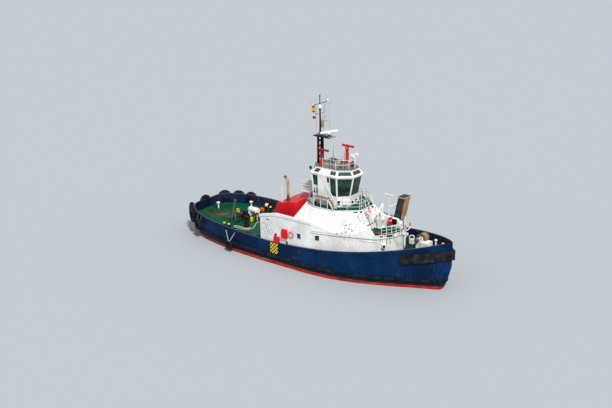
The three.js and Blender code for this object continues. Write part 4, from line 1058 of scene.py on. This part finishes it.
for y in (-0.62, -0.5, 0.95):
    green.tube([(0.9, y, ROOF_TOP + 0.04), (3.9, y * 0.8, ROOF_TOP + 0.04)], 0.04, 6)
profile = [(0.20, 0), (0.28, 0.12), (0.29, 0.30), (0.22, 0.46), (0.08, 0.53)]
dome.turned((2.50, -0.20, ROOF_TOP), UP, profile, 20)
poles.make("roof_aerials", "pole_gray")
green.make("roof_boxes", "roof_green")
gray.make("roof_cabinets", "roof_gray")
dome.make("roof_dome", "buff")
hydrant = Shape().box((3.70, 0.30, ROOF_TOP), (3.96, 0.56, ROOF_TOP + 0.50))
hydrant.turned((3.83, 0.43, ROOF_TOP + 0.49), UP, [(0.10, 0), (0.10, 0.08), (0.03, 0.12)], 12)
hydrant.make("roof_hydrant", "old_red")
lens = Shape()
for y in (0.07, 0.73):
    lens.turned((4.21, y, 11.42), (1, 0, 0), [(0.165, 0), (0.165, 0.004), (0.10, 0.012)], 20)
lens.make("searchlight_glass", "lamp", "searchlights")

# Fore boat deck and foredeck
posts, arms, stay = Shape(), Shape(), Shape()
RAIL_EDGE = [(9.10, 2.06), (9.64, 1.11), (9.94, 0.0), (9.64, -1.11), (9.10, -2.06)]
for (x0, y0), (x1, y1) in zip(RAIL_EDGE, RAIL_EDGE[1:]):
    for share in (0.0, 0.5):
        x, y = x0 + (x1 - x0) * share, y0 + (y1 - y0) * share
        posts.tube([(x, y, BOAT_DECK - 0.01), (x, y, BOAT_DECK + 0.99)], 0.038, 8)
posts.tube([(x, y, BOAT_DECK + 0.985) for x, y in RAIL_EDGE], 0.036, 8)
posts.make("fore_rail_posts", "gear_white")
arms.tube([(6.95, 2.30, 5.95), (7.25, 2.94, 6.24), (7.33, 3.12, 6.14)], 0.055, 8)
arms.turned((7.33, 3.12, 6.14), (0, 0, -1), [(0.06, 0), (0.10, 0.04), (0.10, 0.16)], 12)
for x in (6.72, 7.18):
    arms.tube([(x, 2.30, 7.33), (6.95, 2.30, 7.02)], 0.03, 6)
arms.make("signal_mast_arms", "gear_white")
stay.tube([(7.20, 0.62, 6.62), (7.33, -0.10, 6.02), (7.39, -0.40, 6.06)], 0.05, 8)
stay.make("davit_strut", "gear_white", "davit_jib")
spot, hatch, gear, dark = (Shape() for _ in range(4))
spot.turned((8.24, 0.79, 5.33), (1, 0, 0), [(0.095, -0.01), (0.095, 0.014)], 20)
spot.turned((8.16, 0.56, 5.33), (0, -1, 0), [(0.05, -0.01), (0.05, 0.014)], 20)
# Near-black doorway of the housing: painted shade
hatch.panel((8.40, 1.08, 5.12), (0, -1, 0), 0.72, 0.66, 0.014)
gear.panel((8.0, 1.08, 5.20), (0, -1, 0), 0.10, 0.66, 0.05)
gear.box((9.05, 0.9, BOAT_DECK), (9.25, 1.1, 4.95))
gear.torus((9.69, 2.40, 3.35), (0.5, -0.8, 0), 0.24, 0.06).box((9.5, 2.2, 2.72), (9.9, 2.6, 3.2))
VENT_X, BOLLARD_X = 12.84, 11.35
for hand in (-1, 1):
    low = (VENT_X, hand * 1.88, deck_z(VENT_X) - 0.02)
    gear.turned(low, UP, [(0.10, 0), (0.10, 0.62), (0.17, 0.64), (0.14, 0.76)], 14)
    low = (BOLLARD_X, hand * 2.35, deck_z(BOLLARD_X))
    dark.turned(low, UP, [(0.14, 0), (0.14, 0.55), (0.20, 0.58), (0.20, 0.64)], 14)
spot.make("hose_cabinet_mark", "raft")
hatch.make("housing_door", "dark")
gear.make("foredeck_fittings", "gear_white")
dark.make("foredeck_bollards", "black")
WINCH_X, WINCH_Z = 12.1, 4.4
sleeve = [(0.35, 0), (0.41, 0), (0.41, 0.62), (0.35, 0.62)]
turns = Shape().turned((WINCH_X, 0.44, WINCH_Z), (0, 1, 0), sleeve, 28, caps=False)
for k in range(10):
    turns.torus((WINCH_X, 0.475 + 0.061 * k, WINCH_Z), (0, 1, 0), 0.425, 0.034, 30, 6)
turns.make("rope_turns", "rope", "winch_drum")

# Aft deck
post, band, things = Shape(), Shape(), Shape()
POST_X, REEL_X, REEL_Y = -9.37, -10.36, 2.41
post.turned((POST_X, 0.53, deck_z(POST_X)), UP, [(0.20, 0), (0.20, 0.85), (0.14, 0.90)], 16)
band.panel((-9.20, 0.40, deck_z(POST_X) + 0.45), (0.62, -0.78, 0), 0.10, 0.70, 0.02)
for x, y in ((-9.8, 0.15), (-9.75, 0.75)):
    things.turned((x, y, deck_z(x)), UP, [(0.16, 0), (0.16, 0.42), (0.10, 0.46)], 14)
post.make("hazard_post", "black")
band.make("hazard_band", "yellow")
things.make("deck_sockets", "yellow")
spool = [(0.20, 0), (0.20, 0.03), (0.13, 0.03), (0.13, 0.25), (0.20, 0.25), (0.20, 0.28)]
reel = Shape().turned((REEL_X, REEL_Y, 2.24), (1, 0, 0), spool, 18)
foot_x = REEL_X + 0.14
reel.tube([(foot_x, REEL_Y, deck_z(foot_x) - 0.02), (foot_x, REEL_Y, 2.16)], 0.04, 8)
reel.make("line_reel", "orange")

# Flags: cloth that waves from the mast's line
UPPER = [RED, YELLOW, YELLOW, RED]
LOWER = [(0.45, 0.012, 0.09, 1), (0.70, 0.70, 0.70, 1)]
for name, colors in (("flag_upper", UPPER), ("flag_lower", LOWER)):
    low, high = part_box(name)
    y, wide, drop = (low.y + high.y) / 2, high.x - low.x, high.z - low.z
    cloth, across, down = [], 18, 10
    for i in range(across + 1):
        s = i / across
        for j in range(down + 1):
            t = j / down
            wave = 0.022 * s * math.sin(9 * s + 1.6 * t)
            lean = 0.05 * (t - 0.5)
            cloth.append((high.x - wide * s, y + wave + lean, low.z + drop * (1 - t)))
    rows = down + 1
    starts = [i * rows + j for i in range(across) for j in range(down)]
    faces = [[k, k + 1, k + rows + 1, k + rows] for k in starts]
    sheet = Shape().add(cloth, faces).make(f"{name}_cloth", bands(name, colors, low.z, high.z))
    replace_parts(sheet, name)

# Camera at the photograph's angle, with the part where the photograph has it
HEADING, DOWN, ROLL = math.radians(38.5), math.radians(20.3), math.radians(0.8)
FOCUS_PX, AIM_PX, FRAME_PX, SENSOR = 1060, (320.889, 227.688), (612, 408), 36
AIM, DISTANCE = Vector((0, 0, 3)), 110
away = Vector((-math.sin(HEADING), math.cos(HEADING), 0))
right = Vector((math.cos(HEADING), math.sin(HEADING), 0))
look = away * math.cos(DOWN) - UP * math.sin(DOWN)
over = away * math.sin(DOWN) + UP * math.cos(DOWN)
side = right * math.cos(ROLL) - over * math.sin(ROLL)
top = over * math.cos(ROLL) + right * math.sin(ROLL)
camera = add_object("camera", bpy.data.cameras.new("camera"))
camera.data.sensor_width = SENSOR
camera.data.lens = FOCUS_PX / FRAME_PX[0] * SENSOR
camera.data.shift_x = -(AIM_PX[0] - FRAME_PX[0] / 2) / FRAME_PX[0]
camera.data.shift_y = (AIM_PX[1] - FRAME_PX[1] / 2) / FRAME_PX[0]
camera.data.clip_end = 3000
turn = Matrix((side, top, -look)).transposed().to_4x4()
camera.matrix_world = Matrix.Translation(AIM - look * DISTANCE) @ turn
bpy.context.scene.camera = camera
bpy.context.scene.view_settings.view_transform = "Standard"

# Floor at the waterline, and soft light
FLOOR_HALF = 900
ground = bpy.data.meshes.new("floor")
ground.from_pydata([(FLOOR_HALF * x, FLOOR_HALF * y, 0) for x, y in CORNERS], [], [[0, 1, 2, 3]])
floor = add_object("floor", ground)
ground.materials.append(Finish("floor", 0.9).color((0.40, 0.42, 0.435, 1)).material)
floor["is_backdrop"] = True

world = bpy.data.worlds.new("studio")
bpy.context.scene.world = world
world.use_nodes = True
sky = world.node_tree.nodes["Background"].inputs
sky["Color"].default_value = (0.86, 0.92, 1.0, 1)
sky["Strength"].default_value = 0.62
sun = add_object("key", bpy.data.lights.new("key", "SUN"))
sun.data.energy = 3.7
sun.data.angle = math.radians(8)
sun.rotation_mode = "QUATERNION"
sun.rotation_quaternion = Vector((-0.60, 0.45, -0.80)).to_track_quat("-Z", "Y")

low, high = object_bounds()
{"cad": [list(v) for v in cad_box], "visual": [list(low), list(high)]}
